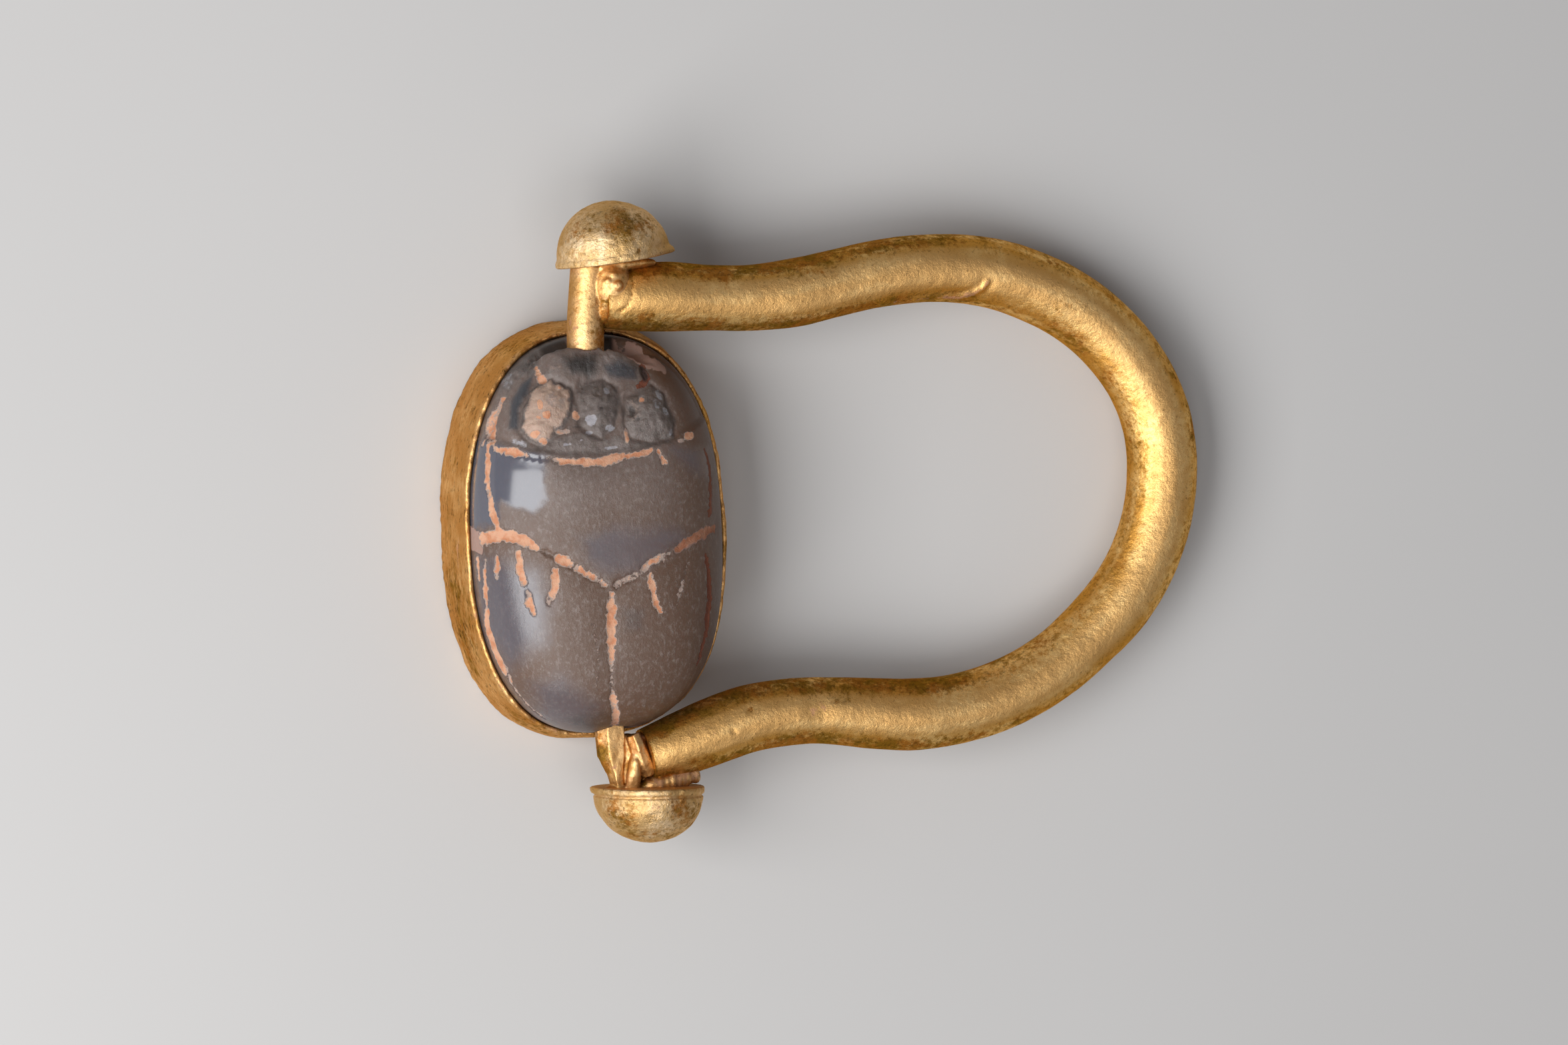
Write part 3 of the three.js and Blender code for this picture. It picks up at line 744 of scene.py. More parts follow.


# %% [markdown]
# The rest of the stone is drawn as places, each with an outline in plan. The head is worn
# down to three broken plates with crystals and earth in them. Clear polish is left beside them
# and on parts of the back, clay clings to the right of the pivot, and the hollows, the mouth and
# the tail get a painted shadow. A place says which value it raises on the stone's points, how
# far, and how its edge runs.

# %% places on the stone
# value, amount, softness of the edge, raggedness, corners
PLACES = {
    "left_plate": ("broken", 1, 0.1, 0.6, [
        (-2.44, 6.46), (-1.75, 6.63), (-0.96, 6.28), (-0.93, 5.91), (-1.1, 5.26), (-1.55, 4.71),
        (-2.02, 4.38), (-2.5, 4.04), (-3.05, 4.23), (-3.35, 4.76), (-3.21, 5.41), (-2.8, 6.12),
    ]),
    "centre_plate": ("broken", 0.9, 0.15, 0.6, [
        (-0.5, 6.46), (0.35, 6.46), (0.93, 6.12), (0.86, 5.53), (0.55, 4.53), (-0.07, 4.14), (-0.86, 4.66),
        (-0.9, 5.25), (-0.84, 6.06),
    ]),
    "right_plate": ("broken", 0.9, 0.12, 0.6, [
        (1.19, 5.66), (1.89, 5.96), (2.34, 6.14), (2.84, 5.72), (3.03, 5.03), (3.21, 4.57), (2.99, 3.85),
        (2.07, 3.8), (1.15, 4.03), (0.98, 4.65),
    ]),
    "throat": ("broken", 0.7, 0.1, 0.8, [
        (-3.95, 4.2), (-3.35, 4.5), (-2.93, 4.07), (-1.88, 4.35), (-0.9, 4.5), (-0.1, 4.1), (0.67, 4.3),
        (1.0, 4.0), (2.2, 3.75), (3.0, 3.85), (2.2, 3.6), (0.3, 3.45), (-1.4, 3.5), (-3.3, 3.9),
    ]),
    "left_crust": ("broken", 1, 0.2, 1.2, [
        (-4.5, 5.6), (-3.5, 7.0), (-2.2, 8.1), (-1.4, 8.2), (-1.95, 7.22), (-2.35, 6.8), (-2.95, 6.75),
        (-3.7, 6.0),
    ]),
    "left_plate_crust": ("tan", 1, 0.3, 1, [
        (-2.44, 6.46), (-1.75, 6.63), (-1.0, 6.28), (-0.95, 5.9), (-1.15, 5.26), (-1.55, 4.75), (-2.02, 4.42),
        (-2.5, 4.1), (-3.05, 4.3), (-3.25, 4.8), (-3.1, 5.41), (-2.75, 6.1),
    ]),
    "right_plate_crust": ("tan", 0.45, 0.3, 1, [
        (1.2, 5.8), (1.85, 6.0), (1.9, 5.0), (1.32, 4.17), (0.96, 4.79),
    ]),
    "brow_crust": ("tan", 0.6, 0.4, 1.2, [
        (-1.9, 7.15), (-0.8, 7.15), (0.4, 7.1), (0.4, 6.7), (-0.9, 6.55), (-1.8, 6.75),
    ]),
    "brow_break": ("broken", 0.55, 0.4, 1.2, [
        (-2.1, 7.2), (-0.8, 7.5), (0.6, 7.5), (2.0, 7.1), (2.2, 6.3), (0.4, 6.5), (-0.9, 6.4), (-2.0, 6.7),
    ]),
    "left_crescent": ("clear", 1, 0.14, 0.3, [
        (-3.5, 5.86), (-2.98, 6.6), (-2.4, 6.86), (-2.71, 6.25), (-3.21, 5.55), (-3.4, 4.76), (-3.75, 4.75),
    ]),
    "brow_facet": ("clear", 0.9, 0.2, 0.5, [(0.4, 6.9), (1.2, 7.0), (2.0, 6.85), (1.8, 6.3), (0.6, 6.45)]),
    "clear_by_suture": ("clear", 0.3, 0.35, 0.5, [(0.1, -2.7), (1.1, -2.8), (1.0, -3.8), (0.1, -3.7)]),
    "clay": ("clay", 1, 0.18, 1.6, [
        (0.95, 7.65), (1.33, 7.98), (2.26, 7.8), (3.3, 6.8), (3.15, 6.45), (1.92, 6.95), (1.14, 7.3),
    ]),
    "junction": ("clay", 1, 0.1, 0.6, [(-5.25, 0.95), (-4.85, 0.35), (-4.95, -0.35), (-5.3, -0.1)]),
    "brown_cheek": ("coat", 0.95, 0.3, 1, [
        (2.3, 6.95), (2.68, 6.1), (3.35, 5.5), (3.5, 4.52), (3.35, 3.6), (4.4, 3.1), (5.4, 4.2),
        (4.9, 6.0), (3.6, 7.2), (2.4, 8.0), (1.0, 8.1), (1.2, 7.2),
    ]),
    "brown_flank": ("coat", 0.9, 0.8, 1, [
        (4.5, 1.5), (5.4, 1.5), (5.3, -4.0), (4.2, -6.6), (2.0, -7.8), (1.7, -7.2), (3.3, -6.0),
        (4.0, -4.6), (4.4, -2.6),
    ]),
    "window": ("polish", 1, 0.25, 1.4, [
        (-5.4, 4.8), (-4.1, 4.2), (-2.5, 3.7), (-2.62, 1.9), (-3.1, 1.3), (-4.2, 1.7), (-4.5, 0.9),
        (-5.4, 0.6),
    ]),
    "left_wing_case": ("polish", 0.75, 0.9, 1, [
        (-5.5, -0.1), (-4.3, -0.3), (-3.0, -0.9), (-2.6, -2.2), (-2.9, -3.9), (-4.3, -5.2), (-5.5, -3.6),
    ]),
    "breast": ("polish", 0.8, 0.7, 1.4, [
        (-1.5, 0.3), (0.03, 0.7), (2.6, 0.4), (3.25, -0.3), (0.85, -1.55), (-0.3, -1.5), (-1.3, -0.9),
    ]),
    "right_side": ("polish", 0.75, 0.5, 1, [(2.4, 3.6), (4.6, 3.3), (4.5, 1.9), (3.6, 2.3)]),
    "wing_tip": ("polish", 0.6, 0.8, 1, [
        (-3.6, -5.5), (-2.4, -5.0), (-0.8, -6.6), (-1.2, -8.0), (-3.4, -7.6),
    ]),
    "throat_facet": ("crystal", 0.55, 0.1, 1, [
        (-3.9, 4.26), (-3.54, 4.55), (-3.11, 4.23), (-3.08, 3.93), (-3.74, 4.04),
    ]),
    "crust_sparkle": ("crystal", 0.55, 0.3, 1, [(-3.8, 6.4), (-3.34, 6.95), (-2.9, 6.85), (-3.39, 6.25)]),
    # Painted shadow over the crust, the mouth under the pin, the two hollows beside it and the tail.
    "crust_shade": ("painted_shade", 0.4, 0.5, 1.6, [
        (-4.3, 5.8), (-3.4, 7.0), (-2.2, 8.1), (-1.4, 8.2), (-1.95, 7.3), (-2.5, 7.0), (-3.1, 6.9),
        (-3.8, 6.1),
    ]),
    "mouth_shade": ("painted_shade", 0.95, 0.3, 1, [
        (-1.2, 6.85), (-0.9, 6.6), (-0.3, 6.5), (0.15, 6.62), (0.3, 6.85), (0.2, 7.2), (-0.4, 7.35),
        (-1.1, 7.2),
    ]),
    "left_hollow_shade": ("painted_shade", 0.92, 0.2, 1, [
        (-1.7, 8.2), (-0.5, 8.3), (-0.6, 7.6), (-1.2, 7.35), (-1.85, 7.35),
    ]),
    "right_hollow_shade": ("painted_shade", 0.92, 0.15, 0.8, [(0.6, 8.3), (1.4, 8.2), (1.25, 7.7), (0.7, 7.5)]),
    "tail_shade": ("painted_shade", 0.6, 0.7, 1.8, [
        (-2.2, -7.1), (-1.29, -6.85), (-0.31, -7.2), (1.23, -7.36), (2.05, -6.69), (1.9, -8.2), (-1.6, -8.2),
    ]),
}
# x, y, half width, half length, amount
SPOTS = {
    "earth": [
        (-2.35, 5.6, 0.15, 0.24, 1), (-2.2, 5.22, 0.24, 0.2, 1), (-2.5, 5.12, 0.14, 0.12, 1),
        (-2.74, 4.5, 0.26, 0.2, 0.95), (-2.5, 4.25, 0.2, 0.16, 1), (-1.46, 6.25, 0.1, 0.08, 0.9),
        (-0.99, 5.14, 0.13, 0.16, 0.95), (-1.62, 4.53, 0.28, 0.13, 0.6), (-1.8, 5.7, 0.4, 0.4, 0.42),
        (3.63, 3.85, 0.2, 0.14, 0.9), (3.19, 3.71, 0.16, 0.1, 0.6), (1.79, 5.49, 0.1, 0.1, 0.9),
        (0.95, 4.2, 0.08, 0.3, 0.75), (0.12, 7.62, 0.09, 0.1, 0.8),
    ],
    "crystal": [
        (-0.41, 4.91, 0.22, 0.2, 0.7), (0.3, 4.55, 0.18, 0.12, 0.6), (-0.57, 4.41, 0.16, 0.1, 0.75),
        (-1.47, 4.04, 0.3, 0.12, 0.6), (0.39, 5.95, 0.12, 0.14, 0.9), (2.75, 4.92, 0.16, 0.2, 0.6),
        (2.6, 5.66, 0.14, 0.22, 0.6), (0.25, 3.75, 0.3, 0.07, 0.6), (2.35, 5.2, 0.2, 0.2, 0.45),
        (-0.95, 4.15, 0.12, 0.1, 0.8), (2.9, 4.1, 0.12, 0.16, 0.7), (-3.9, 6.2, 0.2, 0.1, 0.9),
        (-3.5, 6.6, 0.16, 0.12, 0.8), (-2.7, 7.5, 0.2, 0.14, 0.5), (-3.2, 7.0, 0.14, 0.14, 0.6),
        (-2.2, 7.8, 0.12, 0.12, 0.5), (-4.1, 5.75, 0.12, 0.1, 0.7),
    ],
    # Small spots of painted shadow on the head.
    "painted_shade": [
        (2.14, 6.6, 0.16, 0.3, 0.85), (0.05, 5.28, 0.11, 0.07, 0.8), (-0.12, 5.0, 0.07, 0.08, 0.6),
        (1.31, 5.1, 0.12, 0.3, 0.75), (1.5, 4.75, 0.08, 0.12, 0.6), (0.93, 5.3, 0.07, 0.55, 0.5),
        (-1.0, 4.7, 0.2, 0.06, 0.5),
    ],
}
print(len(PLACES), "places and", sum(map(len, SPOTS.values())), "spots on the stone")

# %% outlines and broken facets
FACET_CELLS = 16


def inside_outline(plan, corners):
    """How far places lie inside a closed outline, negative outside it."""
    corners = np.asarray(corners, float)
    nearest = np.full(len(plan), np.inf)
    within = np.zeros(len(plan), bool)
    for a, b in zip(corners, np.roll(corners, -1, axis=0)):
        side = b - a
        share = np.clip((plan - a) @ side / (side @ side), 0, 1)
        nearest = np.minimum(nearest, np.hypot(*(plan - a - share[:, None] * side).T))
        crosses = (a[1] > plan[:, 1]) != (b[1] > plan[:, 1])
        where = a[0] + side[0] * (plan[:, 1] - a[1]) / (side[1] if side[1] else 1e-9)
        within ^= crosses & (plan[:, 0] < where)
    return np.where(within, nearest, -nearest)


def broken_facets(plan, size, seed):
    """Heights from about -1 to 1 of a mosaic of flat tilted facets, each about `size` across."""
    table = np.random.default_rng(seed).uniform(0, 1, (FACET_CELLS, FACET_CELLS, 5))
    cell = np.floor(plan / size).astype(int)
    nearest = np.full(len(plan), np.inf)
    height = np.zeros(len(plan))
    for step in np.ndindex(3, 3):
        corner = cell + np.array(step) - 1
        row = table[tuple((corner % FACET_CELLS).T)]
        away = plan / size - corner - row[:, :2]
        distance = np.einsum("ij,ij->i", away, away)
        closer = distance < nearest
        nearest = np.where(closer, distance, nearest)
        plane = np.einsum("ij,ij->i", away, 2 * row[:, 2:4] - 1) + row[:, 4] - 0.5
        height = np.where(closer, plane, height)
    return height


# %% [markdown]
# Carving moves the points of the smooth back along their normals, mostly inwards. The head lies a
# step lower than the back, its brow rises and then falls away to the pivot, the plates stand up
# between ruts with a painted shade in them, and the broken places are a mosaic of tilted facets.

# %% the carved stone
STONE_VALUES = ("earth", "red", "broken", "tan", "clear", "clay", "coat", "polish", "crystal", "painted_shade")
HEAD_STEP = 0.15
HEAD_STEP_PLACE = 3.3
HEAD_STEP_CURVE = 0.045
HEAD_STEP_LENGTH = 0.35
BROW_MIDDLE = (-0.6, 7.5)
BROW_CURVE = 0.06
BROW_STEP = 0.5
BROW_STEP_SIDES = (1.8, 3.0)
BROW_RISE = 0.46
BROW_RISE_PLACE = (6.2, 7.4)
BROW_RISE_SIDES = (1.0, 2.4)
PLATE_RISE = 0.24
PLATE_GAP = 0.08
PLATE_GAP_WIDTH = 0.13
# Where the polisher left the back flatter: x, y, half width, half length, depth.
FLATS = [(-3.35, 2.4, 1.05, 1.3, 0.055), (-3.4, -2.2, 1.0, 1.8, 0.03)]


def carve(points):
    """The depth cut at points of the smooth back, and the values that its finish reads."""
    plan = points[:, :2]
    x, y = plan.T
    ragged = 0.1 * soft_noise(points, 0.6, 21) + 0.07 * soft_noise(points, 0.2, 22)
    values = {title: np.zeros(len(points)) for title in STONE_VALUES}
    depth, values["earth"], values["red"] = engrave(points)
    ahead = y - HEAD_STEP_PLACE - HEAD_STEP_CURVE * x * x
    depth += HEAD_STEP * smooth_step(0, HEAD_STEP_LENGTH, ahead)
    brow = y - BROW_MIDDLE[1] + BROW_CURVE * (x - BROW_MIDDLE[0]) ** 2 + 0.8 * ragged
    beyond = smooth_step(-0.05, 0.25, brow)
    depth += BROW_STEP * beyond * (1 - smooth_step(*BROW_STEP_SIDES, np.abs(x)))
    crest = smooth_step(*BROW_RISE_PLACE, y) * (1 - smooth_step(*BROW_RISE_SIDES, np.abs(x + 0.1)))
    depth -= BROW_RISE * (1 - beyond) * crest
    for name, (title, amount, softness, raggedness, corners) in PLACES.items():
        inside = inside_outline(plan, corners) + raggedness * ragged
        raised = amount * smooth_step(-softness / 2, softness, inside)
        values[title] = np.maximum(values[title], raised)
        if name.endswith("_plate"):
            depth -= PLATE_RISE * smooth_step(0, 0.9, inside)
            rut = bell(inside, PLATE_GAP_WIDTH)
            depth += PLATE_GAP * rut
            # Painted shade in the ruts between the plates.
            values["painted_shade"] = np.maximum(values["painted_shade"], 0.15 * rut)
    for title, spots in SPOTS.items():
        for spot_x, spot_y, half_width, half_length, amount in spots:
            reach = np.hypot((x - spot_x) / half_width, (y - spot_y) / half_length) + 4 * ragged
            values[title] = np.maximum(values[title], amount * (1 - smooth_step(0.7, 1.3, reach)))
    rubble = 0.05 * broken_facets(plan, 0.7, 31) + 0.025 * broken_facets(plan, 0.28, 32)
    rubble += 0.018 * soft_noise(points, 0.13, 33)
    depth += values["broken"] * rubble
    depth += 0.02 * values["earth"] * soft_noise(points, 0.12, 41)
    depth += 0.02 * soft_noise(points, 2.4, 42)
    for flat_x, flat_y, half_width, half_length, sag in FLATS:
        across = np.maximum(0, 1 - ((x - flat_x) / half_width) ** 2)
        depth += sag * across * (1 - smooth_step(0.6, 1.3, np.abs(y - flat_y) / half_length))
    return depth, values


def carved_stone():
    """The stone's piece: the blank, carved, with its values stored on its points."""
    depth, values = carve(stone_points[:back_count])
    blank = make_piece("blank", stone_points, stone_faces)
    face_outwards(blank)
    normals = mesh_normals(blank)[:back_count]
    bpy.data.objects.remove(blank)
    rho = place_in_oval(*stone_points[:back_count, :2].T, STONE_SHOULDER)[0]
    fade = 1 - smooth_step(0.985, 0.999, rho)
    points = stone_points.copy()
    points[:back_count] -= normals * (depth * fade)[:, None]
    rest = len(points) - back_count
    padded = {title: np.concatenate([value, np.zeros(rest)]) for title, value in values.items()}
    return make_piece("carved_scarab", points, stone_faces, stone_finish, **padded)


# %% [markdown]
# The pivots reach a little way into the stone. Each hole is bored with a Boolean modifier, whose
# result is kept as a plain mesh.

# %% the pivot holes
# Where each hole starts and ends along the axis, and its radius.
PIVOT_HOLES = {"head": (5.7, 9.5, 0.85), "tail": (-9.5, -5.9, 0.93)}
HOLE_SIDES = 48


def evaluated_mesh(piece):
    """What the modifiers make of a piece, as a plain mesh."""
    depsgraph = bpy.context.evaluated_depsgraph_get()
    return bpy.data.meshes.new_from_object(piece.evaluated_get(depsgraph))


def drill(stone, name, start, end, radius):
    """Bores a pivot hole into a closed stone."""
    angle = np.linspace(0, 2 * math.pi, HOLE_SIDES, endpoint=False)
    circle = np.column_stack([np.cos(angle), np.zeros(HOLE_SIDES), np.sin(angle)]) * radius
    rings = [circle + [0, y, AXIS_MIDDLE.z] for y in (start, end)]
    bit = make_piece("drill", skin_points(rings), skin_faces(2, HOLE_SIDES))
    face_outwards(bit)
    bore = stone.modifiers.new(name, "BOOLEAN")
    bore.operation = "DIFFERENCE"
    bore.solver = "EXACT"
    bore.object = bit
    data = evaluated_mesh(stone)
    stone.modifiers.remove(bore)
    stone.data = data
    bpy.data.objects.remove(bit)
    print("pivot hole at the", name, "leaves", len(data.polygons), "faces")


scarab = carved_stone()
face_outwards(scarab)
for name, (start, end, radius) in PIVOT_HOLES.items():
    drill(scarab, name, start, end, radius)
print("scarab:", round(face_outwards(scarab), 1), "mm3")

# %% [markdown]
# Ancient gold isn't a mirror. Its surface is finely pitted, so reflections break into a grain.
# Copper and silver in the alloy have turned olive and brown where hands didn't rub, and reddish
# earth is left in the hollows. The soot on the hoop's flanks and the amber in recesses are partly
# painted shade, and the pale crests are partly a painted highlight. One function makes the gold;
# each piece gives its own tones.

# %% how old gold is made
OLIVE_PATINA = (0.24, 0.12, 0.012)
BROWN_PATINA = (0.37, 0.14, 0.020)
PINK_EARTH = (0.40, 0.20, 0.125)
# Amber: a yellower tone of the gold, and a warm painted shade in recesses.
AMBER_AND_WARM_SHADE = (0.62, 0.32, 0.05)
SOOT_SPECK = (0.05, 0.024, 0.006)
GRAZING_TINT = (0.85, 0.60, 0.36)
# Pale gold of the rubbed crests, which also stands in for a painted highlight tint.
WORN_HIGHLIGHT_GOLD = (0.93, 0.59, 0.26)
WORN_HIGHLIGHT_FROM = 0.72


def gold_finish(name, bright, deep, patina_from, earth_from, gloss, grain, specks, stretch=(1, 1, 1)):
    """Old gold. Patina and earth lie where their noise, helped by stored values, passes a limit."""
    finish = Finish(name, specular_tint=(*GRAZING_TINT, 1))
    soot_and_shade = finish.stored("soot_and_shade")
    worn_and_highlight = finish.stored("worn_and_highlight")
    broad = finish.plus(finish.noise(0.55, detail=5.0), finish.times(finish.stored("streak"), 0.24))
    colour = finish.mix(finish.rise(broad, 0.34, 0.70), deep, bright)
    fine = finish.noise(3.6, detail=6.0, shift=17, roughness=0.8, stretch=stretch)
    colour = finish.mix(finish.times(finish.rise(fine, 0.42, 0.60), 0.75), colour, deep)
    # Amber, partly a yellower gold and partly a warm painted shade in recesses.
    colour = finish.mix(finish.times(finish.stored("amber_and_warm_shade"), 0.8), colour, AMBER_AND_WARM_SHADE)
    # Pale gold on the crests: rubbed wear, and a painted highlight tint where the softboxes shine.
    colour = finish.mix(finish.times(worn_and_highlight, 0.55), colour, WORN_HIGHLIGHT_GOLD)

    # Patina, olive here and brown there, pushed on by the stored soot, which is partly painted shade.
    cloud = finish.noise(0.7, detail=4.0, shift=31, roughness=0.6, stretch=stretch)
    level = finish.plus(finish.times(cloud, 0.42), finish.times(fine, 0.58))
    level = finish.plus(level, finish.times(soot_and_shade, 0.25))
    level = finish.minus(level, finish.times(worn_and_highlight, 0.05))
    dirty = finish.rise(level, patina_from - 0.02, patina_from + 0.14)
    kind = finish.rise(finish.noise(1.1, detail=3.0, shift=7), 0.42, 0.58)
    patina = finish.mix(kind, OLIVE_PATINA, BROWN_PATINA)
    colour = finish.mix(finish.times(dirty, 0.92), colour, patina)

    # Earth, and the dark specks of the pits.
    crumbs = finish.noise(2.2, detail=6.0, shift=53, roughness=0.75, stretch=stretch)
    level = finish.plus(crumbs, finish.times(finish.stored("earth"), 0.3))
    dusty = finish.times(finish.rise(level, earth_from, earth_from + 0.1), 0.7)
    colour = finish.mix(dusty, colour, PINK_EARTH)
    speck = finish.noise(5.5, detail=5.0, shift=3, roughness=0.8, stretch=stretch)
    dense = finish.rise(finish.plus(speck, finish.times(soot_and_shade, 0.10)), 0.54, 0.68)
    colour = finish.mix(finish.times(dense, specks), colour, SOOT_SPECK)

    roughness = finish.blend(finish.rise(speck, 0.35, 0.65), gloss - 0.06, gloss + 0.08)
    roughness = finish.blend(dirty, roughness, gloss + 0.16)
    roughness = finish.blend(dusty, roughness, 0.75)
    metal = finish.blend(dusty, finish.blend(dirty, 1.0, 0.97), 0.3)
    pits = finish.times(speck, grain)
    hammer = finish.times(finish.noise(1.8, detail=4.0, shift=71, roughness=0.65), grain * 2.0)
    normal = finish.bump(finish.plus(pits, hammer))
    return finish.use(base_color=colour, roughness=roughness, metallic=metal, normal=normal)


# %% the four golds
hoop_gold = gold_finish(
    "hoop_gold", bright=(0.95, 0.62, 0.23), deep=(0.66, 0.33, 0.065),
    patina_from=0.575, earth_from=0.74, gloss=0.44, grain=0.026, specks=0.5,
)
bezel_gold = gold_finish(
    "bezel_gold", bright=(0.90, 0.57, 0.25), deep=(0.62, 0.31, 0.10),
    patina_from=0.53, earth_from=0.66, gloss=0.44, grain=0.034, specks=0.95, stretch=(1, 0.4, 1),
)
pin_gold = gold_finish(
    "pin_gold", bright=(0.80, 0.52, 0.28), deep=(0.60, 0.33, 0.12),
    patina_from=0.555, earth_from=0.67, gloss=0.46, grain=0.022, specks=0.5,
)
cap_gold = gold_finish(
    "cap_gold", bright=(0.90, 0.67, 0.41), deep=(0.64, 0.40, 0.16),
    patina_from=0.555, earth_from=0.74, gloss=0.44, grain=0.042, specks=0.6,
)
print("gold:", len(hoop_gold.node_tree.nodes), "nodes in each of four finishes")

# %% stains and wear, with painted shade and a painted highlight tint
def stain(piece, rows):
    """Marks a piece with soft round stains, some of them painted shade. Each row: x, y, z, size, soot and
    shade, earth, amber and warm shade.
    """
    points = mesh_points(piece)
    for title, column in (("soot_and_shade", 4), ("earth", 5), ("amber_and_warm_shade", 6)):
        amount = np.zeros(len(points))
        for row in rows:
            away = np.linalg.norm(points - row[:3], axis=1)
            amount = np.maximum(amount, row[column] * bell(away, row[3]))
        store(piece, title, amount)


def wear_and_highlight(piece):
    """Marks the crests of a piece, above and below, where rubbing has kept the gold pale, and where the pale
    tint also stands in for a painted highlight.
    """
    store(piece, "worn_and_highlight", smooth_step(WORN_HIGHLIGHT_FROM, 1.0, np.abs(mesh_normals(piece)[:, 2])))


# %% [markdown]
# The bezel is a strip of thin gold sheet bent round the stone, its upper edge pressed in over
# the shoulder with a burnisher. It is swept round the outline from a section. Its edge was never
# straight, so noise makes it wander.

# %% the bezel
BEZEL_STEPS = 900
BEZEL_BULGE = 0.06
LIP_PRESS = 0.1
LIP_EARTH = 0.35
WALL_RINGS = 12


def bezel_section(angle):
    """The strip's section at each angle, from its foot up the outside, over the lip and down inside."""
    outer = oval(angle, BEZEL_RIM, 0.0)
    height = rim_height(place_in_oval(outer[:, 0], outer[:, 1], BEZEL_RIM)[1])
    height = height + 0.05 * soft_noise(outer, 1.3, 3) + 0.035 * soft_noise(outer, 0.3, 4)
    rings = []
    for share in np.linspace(0, 1, WALL_RINGS):
        half_sizes = BEZEL_BASE + (BEZEL_RIM - BEZEL_BASE) * share
        half_sizes = half_sizes + BEZEL_BULGE * math.sin(math.pi * share)
        rings.append(oval(angle, half_sizes, height * share))
    rings.append(oval(angle, BEZEL_RIM - LIP_PRESS * 0.4, height + 0.05))
    rings.append(oval(angle, BEZEL_RIM - LIP_PRESS, height + 0.06))
    for ring in rings:
        beaten = 0.04 * soft_noise(ring, 0.9, 5) + 0.022 * soft_noise(ring, 0.22, 6)
        away = ring[:, :2] / np.linalg.norm(ring[:, :2], axis=1)[:, None]
        ring[:, :2] += away * (beaten - 0.02)[:, None]
    rings.append(oval(angle, BEZEL_RIM - BEZEL_WALL, height + 0.02))
    rings.append(oval(angle, BEZEL_RIM - BEZEL_WALL, height - 0.12))
    rings.append(oval(angle, BEZEL_BASE - BEZEL_WALL, 0.0))
    return rings


bezel_rings = bezel_section(np.linspace(0, 2 * math.pi, BEZEL_STEPS, endpoint=False))
bezel = make_piece(
    "gold_bezel",
    np.vstack(bezel_rings),
    skin_faces(len(bezel_rings), BEZEL_STEPS, joined=True),
    bezel_gold,
)
stain(bezel, [
    (-5.8, -2.2, 1.2, 1.3, 0.5, 0, 0), (-5.4, -3.9, 1.5, 1.4, 0.55, 0, 0),
    (-5.9, 1.2, 2.2, 0.8, 0.3, 0, 0), (-5.6, -0.2, 2.6, 0.7, 0, 0.6, 0),
    (-5.2, 3.0, 3.2, 0.8, 0, 0.35, 0), (-2.4, 7.8, 2.0, 1.0, 0.2, 0.2, 0.4),
    (0.6, -8.4, 1.8, 1.5, 0.4, 0, 0.2), (-2.5, -7.9, 2.2, 1.3, 0.35, 0.2, 0),
    (4.6, 4.4, 3.2, 1.2, 0.3, 0.3, 0.6), (2.4, 7.6, 2.9, 0.8, 0, 0.6, 0.2),
])
lip_ring = np.repeat(np.arange(len(bezel_rings)), BEZEL_STEPS)
on_lip = np.isin(lip_ring, (WALL_RINGS - 1, WALL_RINGS, WALL_RINGS + 1))
store(bezel, "earth", np.maximum(stored_values(bezel, "earth"), LIP_EARTH * on_lip))
print("bezel volume:", round(face_outwards(bezel), 1), "mm3")

# %% [markdown]
# The hoop is one thick bar, bent by hand, so its line wanders and its thickness varies. A path
# with a radius at each point says all of that, and Geometry Nodes sweeps a circle along it.

# %% the hoop's line
AXIS_HEIGHT = 4.1
RING_SHIFT = 0.2
HOOP_REACH = 24.84
HOOP_END_RADIUS = 1.46
HOOP_TILT = math.asin((AXIS_HEIGHT - HOOP_END_RADIUS) / HOOP_REACH)
# Distance from the swivel axis, place along it, and the bar's radius.
HOOP_LINE = [
    (0.8, 9.34, 1.14), (2.2, 9.28, 1.36), (3.64, 9.2, 1.42), (5.4, 9.0, 1.34), (7.1, 8.85, 1.35),
    (8.9, 8.85, 1.4), (10.66, 9.08, 1.38), (12.7, 9.32, 1.39), (14.7, 9.38, 1.4), (16.8, 9.15, 1.43),
    (18.8, 8.58, 1.45), (20.75, 7.59, 1.46), (22.47, 6.22, 1.47), (23.82, 4.47, 1.46),
    (24.66, 2.45, 1.46), (24.84, 0.31, 1.46), (24.47, -1.76, 1.46), (23.62, -3.65, 1.45),
    (22.39, -5.26, 1.45), (20.86, -6.57, 1.4), (19.2, -7.65, 1.39), (17.36, -8.43, 1.42),
    (15.38, -8.85, 1.45), (13.32, -8.93, 1.48), (11.24, -8.68, 1.45), (9.04, -8.31, 1.36),
    (7.2, -8.23, 1.36), (5.6, -8.36, 1.37), (3.97, -8.74, 1.36), (2.5, -9.13, 1.26),
    (1.3, -9.34, 1.08),
]


def in_hoop_plane(reach, y):
    """A place given by its distance from the swivel axis in the hoop's tilted plane."""
    return np.array([
        reach * math.cos(HOOP_TILT),
        y + RING_SHIFT,
        AXIS_HEIGHT - reach * math.sin(HOOP_TILT),
    ])


def path_object(name, places, radii):
    """A path as a curve object, with a radius at each of its points."""
    data = bpy.data.curves.new(name, "CURVE")
    data.dimensions = "3D"
    spline = data.splines.new("POLY")
    spline.points.add(len(places) - 1)
    for point, place, radius in zip(spline.points, places, radii):
        point.co = (*(np.asarray(place) * MM), 1)
        point.radius = radius * MM
    path = bpy.data.objects.new(name, data)
    bpy.context.scene.collection.objects.link(path)
    return path


